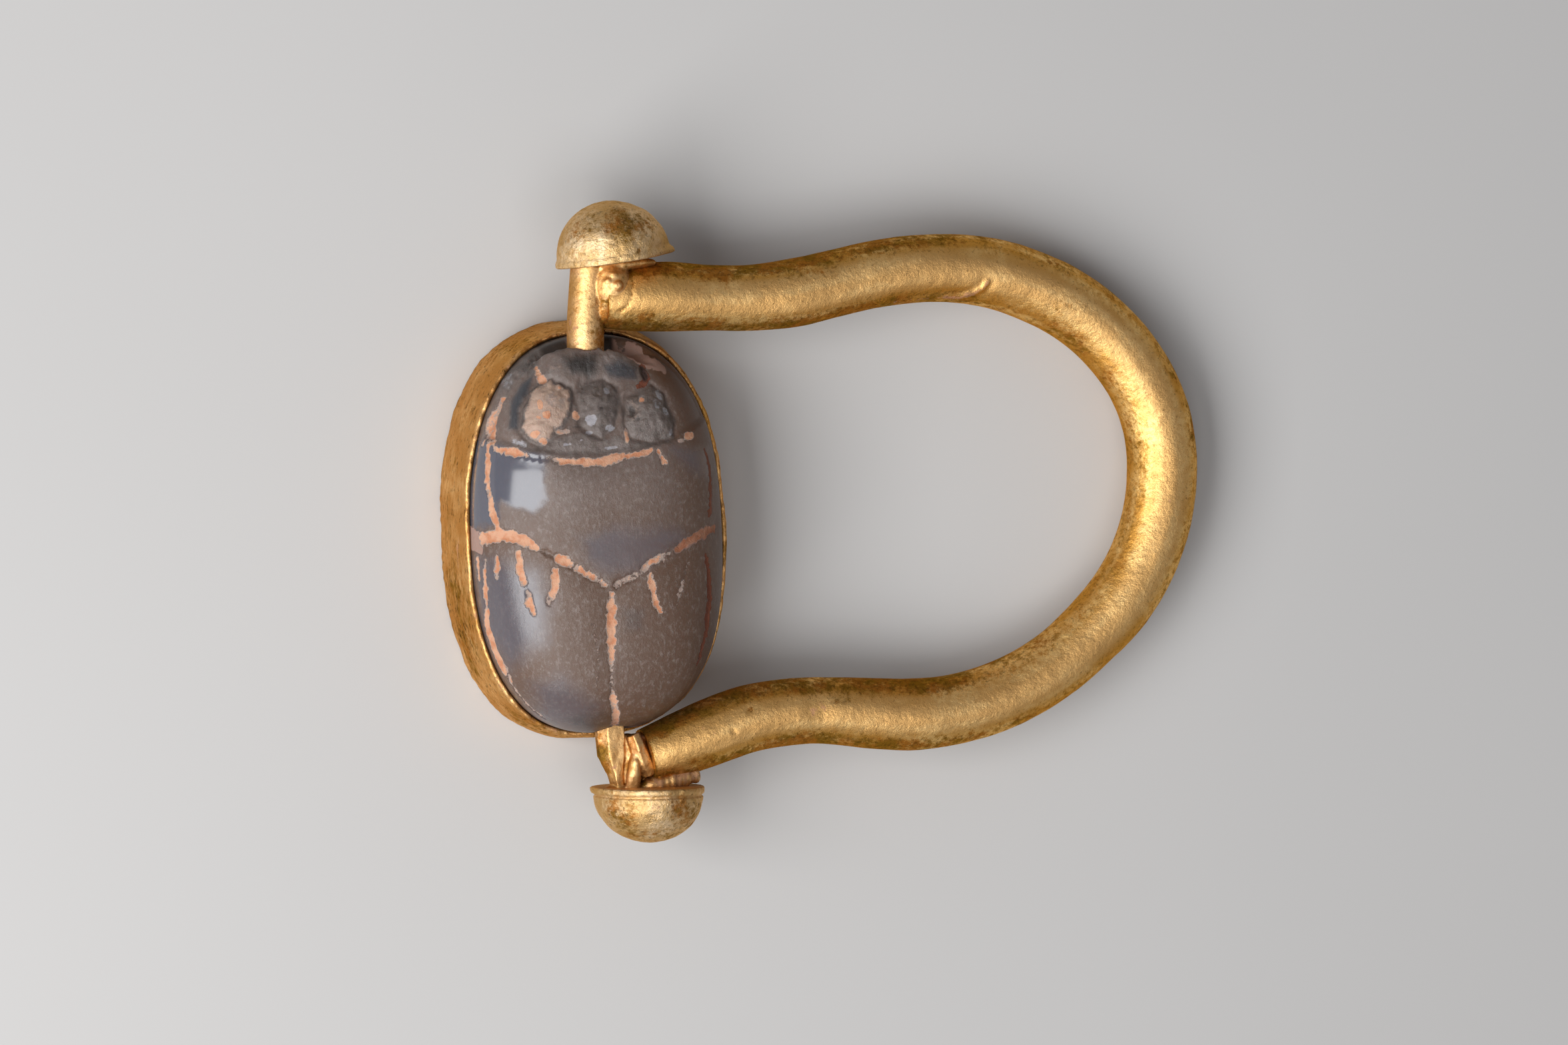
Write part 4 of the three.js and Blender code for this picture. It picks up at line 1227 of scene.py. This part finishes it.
# %% the tree that sweeps a bar
def new_tree(name, inputs):
    """An empty Geometry Nodes tree with a geometry going in and out, and named inputs."""
    tree = bpy.data.node_groups.new(name, "GeometryNodeTree")
    tree.interface.new_socket("Geometry", in_out="INPUT", socket_type="NodeSocketGeometry")
    for title, kind in inputs.items():
        tree.interface.new_socket(title, in_out="INPUT", socket_type=kind)
    tree.interface.new_socket("Geometry", in_out="OUTPUT", socket_type="NodeSocketGeometry")
    return tree


def swept_bar_tree():
    """A bar of round section along a curve, as thick as the curve's radius, and dented."""
    tree = new_tree("swept_bar", {
        "Sides": "NodeSocketInt",
        "Steps": "NodeSocketInt",
        "Dent Depth": "NodeSocketFloat",
        "Dent Scale": "NodeSocketFloat",
        "Finish": "NodeSocketMaterial",
    })

    def made(kind, links=None, **settings):
        return add_node(tree, kind, links, **settings).outputs[0]

    given = add_node(tree, "NodeGroupInput").outputs
    curve = made("GeometryNodeCurveSplineType", {"Curve": given["Geometry"]}, spline_type="CATMULL_ROM")
    line = made("GeometryNodeResampleCurve", {"Curve": curve, "Count": given["Steps"]})
    circle = made("GeometryNodeCurvePrimitiveCircle", {"Resolution": given["Sides"], "Radius": 1.0})
    bar = made("GeometryNodeCurveToMesh", {
        "Curve": line,
        "Profile Curve": circle,
        "Scale": made("GeometryNodeInputRadius"),
        "Fill Caps": True,
    })
    dents = add_node(tree, "ShaderNodeTexNoise", {"Scale": given["Dent Scale"], "Detail": 3.0})
    centred = made("ShaderNodeMath", {0: dents.outputs["Fac"], 1: 0.5}, operation="SUBTRACT")
    depth = made("ShaderNodeMath", {0: centred, 1: given["Dent Depth"]}, operation="MULTIPLY")
    normal = made("GeometryNodeInputNormal")
    offset = made("ShaderNodeVectorMath", {0: normal, "Scale": depth}, operation="SCALE")
    dented = made("GeometryNodeSetPosition", {"Geometry": bar, "Offset": offset})
    shaded = made("GeometryNodeSetShadeSmooth", {"Geometry": dented})
    real = made("GeometryNodeRealizeInstances", {"Geometry": shaded})
    finished = made("GeometryNodeSetMaterial", {"Geometry": real, "Material": given["Finish"]})
    add_node(tree, "NodeGroupOutput", {"Geometry": finished})
    return tree


def plain_piece(name, base):
    """A plain mesh object with what the modifiers made of its base, which is removed."""
    data = evaluated_mesh(base)
    data.name = name
    piece = bpy.data.objects.new(name, data)
    bpy.context.scene.collection.objects.link(piece)
    bpy.data.objects.remove(base)
    return piece


def grow(name, base, tree, values):
    """Runs a tree on a base object and keeps the result as a plain mesh object."""
    modifier = base.modifiers.new("grow", "NODES")
    modifier.node_group = tree
    for item in tree.interface.items_tree:
        if item.in_out == "INPUT" and item.name in values:
            modifier[item.identifier] = values[item.name]
    bpy.context.view_layer.update()
    return plain_piece(name, base)


# %% the hoop
HOOP_STEPS = 620
HOOP_SIDES = 96
hoop_places = [in_hoop_plane(reach, y) for reach, y, _ in HOOP_LINE]
hoop_path = path_object("hoop_path", hoop_places, [radius for _, _, radius in HOOP_LINE])
hoop = grow("gold_hoop", hoop_path, swept_bar_tree(), {
    "Sides": HOOP_SIDES,
    "Steps": HOOP_STEPS,
    "Dent Depth": 0.12 * MM,
    "Dent Scale": 0.35 / MM,
    "Finish": hoop_gold,
})
print("hoop:", len(hoop.data.polygons), "faces,", round(face_outwards(hoop), 1), "mm3")

# %% [markdown]
# A bar that was hammered round and drawn between the fingers keeps long faint facets. The hoop
# also has marks of its own: a turned-up lip where the seam of the metal opened, a groove at the
# end where it was soldered, a brown dent, pits and a patch of yellower gold. Its flanks are
# darkened with patina and painted shade.

# %% marks on the hoop
HOOP_LENGTH = 70.0
BAR_RADIUS = 1.4
FACET_DEPTH = 0.03
FACET_DRAWN_OUT = 0.07
SEAM_LIP = [(13.2, 8.38), (14.5, 8.42), (15.3, 8.4), (16.0, 8.34), (16.6, 8.42), (16.95, 8.6), (17.15, 8.85)]
END_GROOVE = [(2.05, 10.9), (2.0, 10.53), (1.84, 9.6), (1.6, 9.2), (1.35, 9.03)]
SCRATCH = [(6.16, -8.97), (10.74, -9.36), (16.32, -9.8)]
# x, y, half length, half width, depth, soot and shade, earth, amber and warm shade
HOOP_MARKS = [
    (8.52, -7.93, 0.62, 0.55, 0.07, 0.3, 0.9, 0.6), (9.6, -7.6, 0.9, 0.25, 0.02, 0.6, 0.2, 0.3),
    (4.8, -8.39, 0.13, 0.11, 0.05, 0, 0.8, 1), (5.6, -7.6, 0.2, 0.15, 0.03, 1, 0, 0),
    (11.34, -8.67, 0.1, 0.08, 0.03, 0.5, 0, 0), (10.48, -6.99, 0.5, 0.2, 0.02, 1, 0.2, 0),
    (24.22, 2.31, 0.16, 0.2, -0.03, 0, 0.8, 0.3), (24.4, -0.9, 0.2, 0.25, 0.0, 0, 0.7, 0.3),
    (2.9, 9.7, 1.1, 0.55, -0.02, 0, 0, 0.75), (2.3, 8.6, 1.0, 0.4, 0.02, 0.8, 0.4, 0),
    (5.0, 10.3, 1.6, 0.5, 0.0, 0.6, 0.1, 0), (9.2, 9.9, 2.4, 0.6, 0.0, 0.5, 0, 0.1),
    (7.0, 8.0, 2.2, 0.5, 0.0, 0.6, 0.2, 0), (3.2, -8.2, 1.2, 0.5, 0.0, 0.3, 0.7, 0.3),
    (3.4, -9.5, 1.2, 0.35, 0.03, 0.7, 0.4, 0.5), (20.5, 7.6, 1.4, 0.3, 0.0, 0.5, 0, 0),
]


def line_distance(plan, corners):
    """The distance of places from a line in plan, and how far along it they are, 0 to 1."""
    corners = np.asarray(corners, float)
    nearest = np.full(len(plan), np.inf)
    along = np.zeros(len(plan))
    for number, (a, b) in enumerate(zip(corners, corners[1:])):
        side = b - a
        share = np.clip((plan - a) @ side / (side @ side), 0, 1)
        away = np.hypot(*(plan - a - share[:, None] * side).T)
        closer = away < nearest
        nearest = np.where(closer, away, nearest)
        along = np.where(closer, (number + share) / (len(corners) - 1), along)
    return nearest, along


def mark_hoop():
    """Gives the hoop its faint facets and its own marks, and stores what lies on them, with patina and
    painted shade on its flanks.
    """
    points, normals = mesh_points(hoop), mesh_normals(hoop)
    number = np.arange(len(points))
    turn = 2 * math.pi * (number % HOOP_SIDES) / HOOP_SIDES
    run = HOOP_LENGTH * (number // HOOP_SIDES) / HOOP_STEPS
    round_bar = BAR_RADIUS * np.cos(turn), BAR_RADIUS * np.sin(turn)
    drawn = np.column_stack([*round_bar, FACET_DRAWN_OUT * run])
    rise = FACET_DEPTH * soft_noise(drawn, 0.9, 71) + 0.4 * FACET_DEPTH * soft_noise(drawn, 0.35, 72)
    streak = soft_noise(drawn + 5, 0.3, 73)
    plan = points[:, :2]
    facing_up = smooth_step(-0.1, 0.3, normals[:, 2])
    # The sides of the bar get a soot that is partly patina and partly painted shade, strongest on the arms.
    side = 1 - smooth_step(0.6, 1.0, normals[:, 2])
    flank = side * (0.35 + 0.45 * (1 - smooth_step(12, 20, points[:, 0])))
    values = {"soot_and_shade": flank, "earth": 0.12 * side, "amber_and_warm_shade": np.zeros(len(points)), "streak": streak}
    away, along = line_distance(plan, SEAM_LIP)
    lip = bell(away, 0.11) - 0.5 * bell(away, 0.3)
    rise += facing_up * 0.13 * (0.4 + 0.6 * along) * lip
    dusty = facing_up * (0.8 + 0.5 * along) * bell(away, 0.14)
    values["earth"] = np.maximum(values["earth"], dusty)
    away, _ = line_distance(plan, END_GROOVE)
    groove = facing_up * bell(away, 0.06)
    rise -= 0.05 * groove
    values["soot_and_shade"] = np.maximum(values["soot_and_shade"], 0.8 * groove)
    away, _ = line_distance(plan, SCRATCH)
    rise -= facing_up * 0.012 * bell(away, 0.05)
    for x, y, half_length, half_width, depth, soot_and_shade, earth, amber_and_warm_shade in HOOP_MARKS:
        reach = np.hypot((plan[:, 0] - x) / half_length, (plan[:, 1] - y) / half_width)
        mark = facing_up * np.exp(-(reach**3))
        rise -= depth * mark
        for title, amount in (("soot_and_shade", soot_and_shade), ("earth", earth), ("amber_and_warm_shade", amber_and_warm_shade)):
            values[title] = np.maximum(values[title], amount * mark)
    move_points(hoop, points + normals * rise[:, None])
    for title, amounts in values.items():
        store(hoop, title, amounts)
    ring = points[:HOOP_SIDES]
    print("one ring of the hoop is", round(float(np.ptp(ring, axis=0).max()), 2), "mm across")


mark_hoop()
wear_and_highlight(hoop)

# %% [markdown]
# The caps are small domes of pale gold on a lip that is torn and turned out. A profile is spun
# round, and noise makes the lip ragged and leaves the dome slightly hammered.

# %% the caps
CAP_SIDES = 180
CAP_RADIUS = 2.22
CAP_RISE_STEPS = 60
LIP_NOISE_RADIUS = 2.2
TIP_SPREAD = 0.22
DOME_START = 0.4
DOME_TORN = 0.45
DOME_TORN_STEPS = 20


def cap_profile(lip, groove, height):
    """Rows from the flat underside over the lip to the top: the distance from the middle, the
    height, and how torn the metal is there."""
    rows = [
        (CAP_RADIUS * 0.3, 0.0, 0),
        (CAP_RADIUS * 0.9, 0.0, 0),
        (CAP_RADIUS + lip * 0.3, 0.0, 0.7),
        (CAP_RADIUS + lip * 0.7, 0.05, 1),
        (CAP_RADIUS + lip * 0.7, 0.18, 0.9),
        (CAP_RADIUS + lip * 0.3, 0.26, 0.8),
        (CAP_RADIUS - groove, 0.31, 0.65),
        (CAP_RADIUS - groove, DOME_START - 0.03, 0.5),
    ]
    for step in range(CAP_RISE_STEPS):
        rise = math.pi / 2 * step / CAP_RISE_STEPS
        torn = DOME_TORN * max(0, 1 - step / DOME_TORN_STEPS)
        dome = DOME_START + (height - DOME_START) * math.sin(rise)
        rows.append((CAP_RADIUS * math.cos(rise), dome, torn))
    return rows


def make_cap(name, seed, reach, y, lean, nod, lip, groove, height, tips, stains):
    """A cap on the hoop's end. Each tip has a direction in degrees and how far it sticks out."""
    angle = np.linspace(0, 2 * math.pi, CAP_SIDES, endpoint=False)
    circle = np.column_stack([np.cos(angle), np.sin(angle), np.zeros(CAP_SIDES)])
    edge = circle * LIP_NOISE_RADIUS
    ragged = 0.35 * soft_noise(edge, 0.8, seed) + 0.3 * soft_noise(edge, 0.25, seed + 1)
    for direction, size in tips:
        turn = np.angle(np.exp(1j * (angle - math.radians(direction))))
        ragged += size / lip * bell(turn, TIP_SPREAD)
    rings = []
    for distance, rise, torn in cap_profile(lip, groove, height):
        out = distance + lip * torn * ragged
        rings.append(np.column_stack([circle[:, 0] * out, circle[:, 1] * out, np.full(CAP_SIDES, rise)]))
    points = skin_points(rings)
    outward = points / np.linalg.norm(points + [0, 0, 0.5], axis=1)[:, None]
    beaten = 0.05 * soft_noise(points, 1.2, seed + 2) + 0.02 * soft_noise(points, 0.4, seed + 3)
    beaten += 0.008 * soft_noise(points, 0.14, seed + 4)
    points += outward * beaten[:, None]
    points[:, 2] = np.maximum(points[:, 2], 0)
    turn = Matrix.Rotation(math.radians(lean), 3, "Z") @ Matrix.Rotation(math.radians(nod - 90), 3, "X")
    placed = points @ np.array(turn).T + in_hoop_plane(reach, y)
    cap = make_piece(name, placed, skin_faces(len(rings), CAP_SIDES), cap_gold)
    stain(cap, stains)
    print(name, "volume:", round(face_outwards(cap), 1), "mm3")
    return cap


upper_cap = make_cap(
    "upper_gold_cap", seed=51, reach=1.49, y=10.86, lean=4, nod=0,
    lip=0.06, groove=0.0, height=2.43, tips=[(183, 0.16), (-12, 0.3)],
    stains=[
        (1.6, 12.7, 5.7, 0.9, 0.7, 0, 0), (0.1, 13.0, 5.4, 0.8, 0.45, 0, 0),
        (2.5, 12.4, 5.4, 0.8, 0.5, 0, 0), (3.1, 11.7, 5.3, 0.6, 0, 0.7, 0),
        (-0.4, 12.2, 5.0, 0.7, 0.3, 0.2, 0), (2.1, 11.5, 6.1, 0.15, 1, 0, 0),
        (-0.2, 11.2, 5.5, 0.6, 0, 0.35, 0.2), (2.6, 11.2, 5.6, 0.5, 0.4, 0.1, 0),
    ],
)
lower_cap = make_cap(
    "lower_gold_cap", seed=61, reach=1.32, y=-10.62, lean=175.5, nod=2,
    lip=0.09, groove=0.05, height=2.3, tips=[(20, 0.12), (160, 0.04)],
    stains=[
        (-0.4, -11.4, 5.4, 0.8, 0.6, 0, 0), (2.0, -11.15, 5.9, 0.5, 0.7, 0.7, 0),
        (1.0, -11.1, 6.2, 0.35, 0, 0.8, 0), (-0.8, -11.1, 4.8, 0.5, 0, 0.5, 0),
        (0.6, -12.0, 5.8, 1.0, 0.2, 0.1, 0), (2.8, -11.9, 5.2, 1.0, 0.5, 0, 0),
        (1.8, -12.3, 5.2, 0.9, 0.4, 0, 0.1), (0.2, -12.3, 5.2, 0.8, 0.3, 0.3, 0),
    ],
)

# %% [markdown]
# The two pivots are different. The upper one is a smooth round stub, soldered to the hoop with a
# blob that melted and shone. The lower one is a strip folded lengthwise, wedged against the
# hoop's end, with wrinkled solder over the cap. Each is pieced together from simple lumps, and a
# voxel remesh melts the lumps into one skin, as the goldsmith's flame did.

# %% melting lumps together
LUMP_SIDES = 20
LUMP_RINGS = 12


def sweep(rows, sides):
    """A closed tube through rows of x, y, z, half width and half height."""
    rows = np.asarray(rows, float)
    centres = rows[:, :3]
    along = np.gradient(centres, axis=0)
    along /= np.linalg.norm(along, axis=1)[:, None]
    side = np.cross([0, 0, 1], along)
    side /= np.linalg.norm(side, axis=1)[:, None]
    up = np.cross(along, side)
    angle = np.linspace(0, 2 * math.pi, sides, endpoint=False)
    rings = []
    for row, across, above in zip(rows, side, up):
        wide = row[3] * np.outer(np.cos(angle), across)
        high = row[4] * np.outer(np.sin(angle), above)
        rings.append(row[:3] + wide + high)
    return skin_points(rings), skin_faces(len(rings), sides)


def melt(name, lumps, voxel, smoothing, finish):
    """One closed skin over several closed lumps."""
    points, faces = [], []
    for lump_points, lump_faces in lumps:
        start = sum(map(len, points))
        points.append(lump_points)
        faces.extend(tuple(int(corner) + start for corner in face) for face in lump_faces)
    cold = make_piece("lumps", np.vstack(points), faces)
    remesh = cold.modifiers.new("melt", "REMESH")
    remesh.mode = "VOXEL"
    remesh.voxel_size = voxel * MM
    smooth = cold.modifiers.new("smooth", "SMOOTH")
    smooth.factor = 0.5
    smooth.iterations = smoothing
    melted = plain_piece(name, cold)
    melted.data.polygons.foreach_set("use_smooth", [True] * len(melted.data.polygons))
    melted.data.materials.append(finish)
    face_outwards(melted)
    return melted


def wrinkle(piece, low, high, depth, squeeze, seed):
    """Wrinkles the skin inside a box. squeeze says how closely they follow along X, Y and Z."""
    points, normals = mesh_points(piece), mesh_normals(piece)
    middle = np.add(low, high) / 2
    half = np.subtract(high, low) / 2
    within = 1 - smooth_step(0.75, 1.1, np.abs((points - middle) / half).max(axis=1))
    folds = soft_noise(points * squeeze, 1, seed) + 0.5 * soft_noise(points * squeeze * 2.1, 1, seed + 1)
    move_points(piece, points + normals * (depth * within * folds)[:, None])


def lump(x, y, z, size, stretch=(1, 1, 1)):
    """A ball-shaped lump of solder, stretched along X, Y and Z."""
    angle = np.linspace(0, 2 * math.pi, LUMP_SIDES, endpoint=False)
    circle = np.column_stack([np.cos(angle), np.sin(angle), np.ones(LUMP_SIDES)])
    rings = []
    for rise in np.linspace(-math.pi / 2, math.pi / 2, LUMP_RINGS)[1:-1]:
        rings.append(circle * [math.cos(rise), math.cos(rise), math.sin(rise)])
    points = skin_points(rings) * size * np.array(stretch) + [x, y, z]
    return points, skin_faces(len(rings), LUMP_SIDES)


# %% the upper pivot
upper_tube = smooth_rows([
    (0, 6.1, 4.1, 0.74, 0.74), (0, 7.2, 4.1, 0.75, 0.75), (0.1, 8.6, 4.1, 0.76, 0.76),
    (0.3, 10.0, 4.1, 0.77, 0.77), (0.45, 10.95, 4.1, 0.78, 0.78),
], 0.3)
upper_pin = melt("upper_gold_pin", [
    sweep(upper_tube, 48),
    lump(1.2, 10.1, 4.45, 0.85, (1.0, 1.2, 0.9)),
    lump(0.95, 10.3, 5.02, 0.2),
    lump(1.3, 10.1, 5.1, 0.24),
    lump(1.2, 10.5, 5.02, 0.2),
    lump(1.2, 9.6, 4.92, 0.24),
    lump(0.95, 9.25, 4.4, 0.62, (1.0, 1.1, 0.85)),
    sweep([
        (0.7, 10.85, 4.4, 0.25, 0.5), (1.6, 10.9, 4.35, 0.28, 0.6), (2.6, 10.9, 4.2, 0.22, 0.5),
        (3.1, 10.85, 4.1, 0.12, 0.3),
    ], 20),
], 0.045, 6, pin_gold)
wear_and_highlight(upper_pin)
wrinkle(upper_pin, (0.6, 9.2, 4.3), (2.1, 11.0, 6.0), 0.018, (4.0, 4.0, 4.0), 81)
# Soot and amber round the solder of the upper pivot are partly painted shade in its recesses.
stain(upper_pin, [
    (-0.7, 8.6, 4.2, 0.9, 0.3, 0.5, 0.1), (-0.6, 10.2, 4.4, 0.8, 0.2, 0.45, 0.2),
    (0.5, 8.2, 4.7, 0.7, 0.5, 0, 0), (0.5, 10.6, 5.0, 0.5, 0.3, 0.3, 0.5),
    (1.0, 9.15, 4.6, 0.75, 1, 0.1, 0.3), (1.7, 10.4, 5.2, 0.4, 0.2, 0.4, 0.5),
    (2.4, 10.9, 4.4, 0.9, 0.7, 0, 0.5), (0.75, 9.9, 4.7, 0.5, 0.6, 0, 0.2),
    (0.7, 8.4, 4.4, 0.5, 0.8, 0, 0), (-0.5, 7.7, 4.6, 0.5, 0, 0.7, 0),
])

# %% the lower pivot
def folded_strip(sections):
    """A closed strip from sections of x, y, z corners."""
    rings = [np.asarray(section, float) for section in sections]
    return skin_points(rings), skin_faces(len(rings), len(rings[0]))


def pivot_section(y, left, right, half):
    """The folded strip's section at a place along the axis, with its ridge left of the middle."""
    ridge = left + 0.35 * (right - left)
    corners = [(left, -0.7 * half), (right, -half), (right, 0.85 * half), (ridge, half), (left, 0.3 * half)]
    return [(x, y, AXIS_HEIGHT + z) for x, z in corners]


lower_pin = melt("lower_gold_pin", [
    folded_strip([
        pivot_section(-6.5, -0.62, 0.42, 0.46),
        pivot_section(-8.1, -0.74, 0.36, 0.52),
        pivot_section(-9.0, -0.7, 0.3, 0.52),
        pivot_section(-9.75, -0.36, 0.2, 0.46),
        pivot_section(-10.5, -0.2, 0.2, 0.4),
    ]),
    sweep([
        (0.72, -8.2, 4.35, 0.3, 0.5), (0.85, -8.6, 4.4, 0.36, 0.58), (1.05, -9.3, 4.3, 0.45, 0.55),
        (1.3, -9.9, 4.2, 0.4, 0.4),
    ], 7),
    sweep([
        (0.42, -8.2, 4.0, 0.3, 0.36), (0.5, -9.2, 4.05, 0.34, 0.38), (0.45, -10.45, 4.0, 0.4, 0.4),
    ], 12),
    sweep([
        (0.72, -8.9, 4.5, 0.1, 0.2), (0.68, -9.3, 4.6, 0.24, 0.28), (0.6, -9.8, 4.6, 0.3, 0.28),
        (0.55, -10.5, 4.45, 0.34, 0.2),
    ], 10),
    lump(0.1, -10.4, 4.1, 0.5, (1.5, 0.45, 1)),
    lump(0.95, -8.42, 4.0, 0.5, (1.1, 0.45, 1)),
    sweep([
        (0.9, -10.4, 4.0, 0.3, 0.45), (1.7, -10.3, 4.15, 0.38, 0.55), (2.6, -10.2, 4.1, 0.4, 0.5),
        (3.3, -10.1, 3.9, 0.36, 0.42),
    ], 24),
], 0.042, 2, pin_gold)
wear_and_highlight(lower_pin)
wrinkle(lower_pin, (0.9, -11.0, 3.0), (4.0, -9.7, 5.4), 0.075, (3.6, 0.7, 1.0), 91)
wrinkle(lower_pin, (-1.0, -10.6, 3.0), (1.4, -7.9, 5.6), 0.02, (4.0, 2.0, 4.0), 93)
# Amber and soot along the recess beside the folded strip are partly a painted orange shadow.
stain(lower_pin, [
    (-0.78, -8.8, 4.1, 0.5, 1.2, 0.3, 0.1), (-0.6, -9.5, 4.1, 0.4, 1, 0.3, 0),
    (-0.2, -8.9, 4.6, 0.22, 0, 0.5, 0.6), (-0.2, -9.4, 4.6, 0.18, 0, 0.6, 0.3),
    (0.5, -8.6, 4.2, 0.35, 0.6, 0, 0.6), (0.4, -9.4, 4.3, 0.3, 0.6, 0.2, 0.6),
    (0.87, -10.25, 4.4, 0.3, 1, 0, 0), (1.6, -10.3, 4.6, 0.5, 0.2, 0.9, 0),
    (2.5, -10.2, 4.5, 0.6, 0.1, 0.9, 0), (3.2, -10.1, 4.2, 0.5, 0.2, 0.8, 0),
    (-0.06, -10.34, 4.6, 0.25, 0, 0, 1), (0.9, -8.3, 4.4, 0.5, 0.6, 0.8, 0),
])

# %% [markdown]
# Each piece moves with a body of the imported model: the hoop and all that is soldered to it is the
# ring, and the stone in its bezel is the seal that turns on the pivots.

# %% bodies, nodes and slots
for piece, body, node, slot in [
    (scarab, "seal", "scarab", "chalcedony"),
    (bezel, "seal", "bezel", "bezel_gold"),
    (hoop, "ring", "hoop", "hoop_gold"),
    (upper_pin, "ring", "upper_pin", "pin_gold"),
    (lower_pin, "ring", "lower_pin", "pin_gold"),
    (upper_cap, "ring", "upper_cap", "cap_gold"),
    (lower_cap, "ring", "lower_cap", "cap_gold"),
]:
    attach(piece, body)
    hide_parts(node)
    print(piece.name, len(piece.data.polygons), "faces")

# %% [markdown]
# The stage is a pale floor. A tall softbox on the left puts the window-shaped highlight on the
# beetle's shoulder and the long gleam on the hoop. A weak one overhead, on the tail's side, lights
# what the first leaves dark, and a dim grey room fills the rest.

# %% the stage
FLOOR_SIZE = 700
FLOOR_TONE = (0.47, 0.462, 0.455)
ROOM_TONE = (0.25, 0.25, 0.26)


def make_floor():
    """A sheet of pale paper, barely uneven in tone."""
    half = FLOOR_SIZE / 2
    finish = Finish("floor_paper", roughness=0.9)
    shade = finish.rise(finish.noise(0.02, detail=2.0), 0.2, 0.8)
    finish.use(base_color=finish.mix(shade, FLOOR_TONE, tuple(tone * 0.97 for tone in FLOOR_TONE)))
    corners = [(-half, -half, 0), (half, -half, 0), (half, half, 0), (-half, half, 0)]
    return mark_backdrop(make_piece("floor", corners, [(0, 1, 2, 3)], finish.material))


def make_light(name, place, size, power, tint=(1, 1, 1)):
    """A softbox at a place, facing the ring, with its width and length in millimetres."""
    data = bpy.data.lights.new(name, "AREA")
    data.shape = "RECTANGLE"
    data.size, data.size_y = (side * MM for side in size)
    data.energy = power
    data.color = tint
    light = bpy.data.objects.new(name, data)
    facing = turned_frame(Vector(place), Vector((0, 1, 0)))
    axes = Matrix((facing.col[1].cross(facing.col[0]), facing.col[1], facing.col[0])).transposed()
    light.matrix_world = Matrix.Translation(Vector(place) * MM) @ axes.to_4x4()
    bpy.context.scene.collection.objects.link(light)


def make_room(tone):
    """The even grey that the ring mirrors wherever no softbox stands."""
    room = bpy.data.worlds.new("room")
    room.use_nodes = True
    room.node_tree.nodes["Background"].inputs["Color"].default_value = opaque(tone)
    bpy.context.scene.world = room


make_floor()
make_light("key", (-148, -36, 150), (130, 225), 0.66)
make_light("top", (-10, -95, 240), (150, 120), 0.15)
make_room(ROOM_TONE)
bpy.context.scene.view_settings.view_transform = "Standard"

# %% the sizes
boxes = {"cad": cad_box, "visual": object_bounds()}
for name, box in boxes.items():
    print(name, "box in mm:", [[round(value / MM, 2) for value in corner] for corner in box])
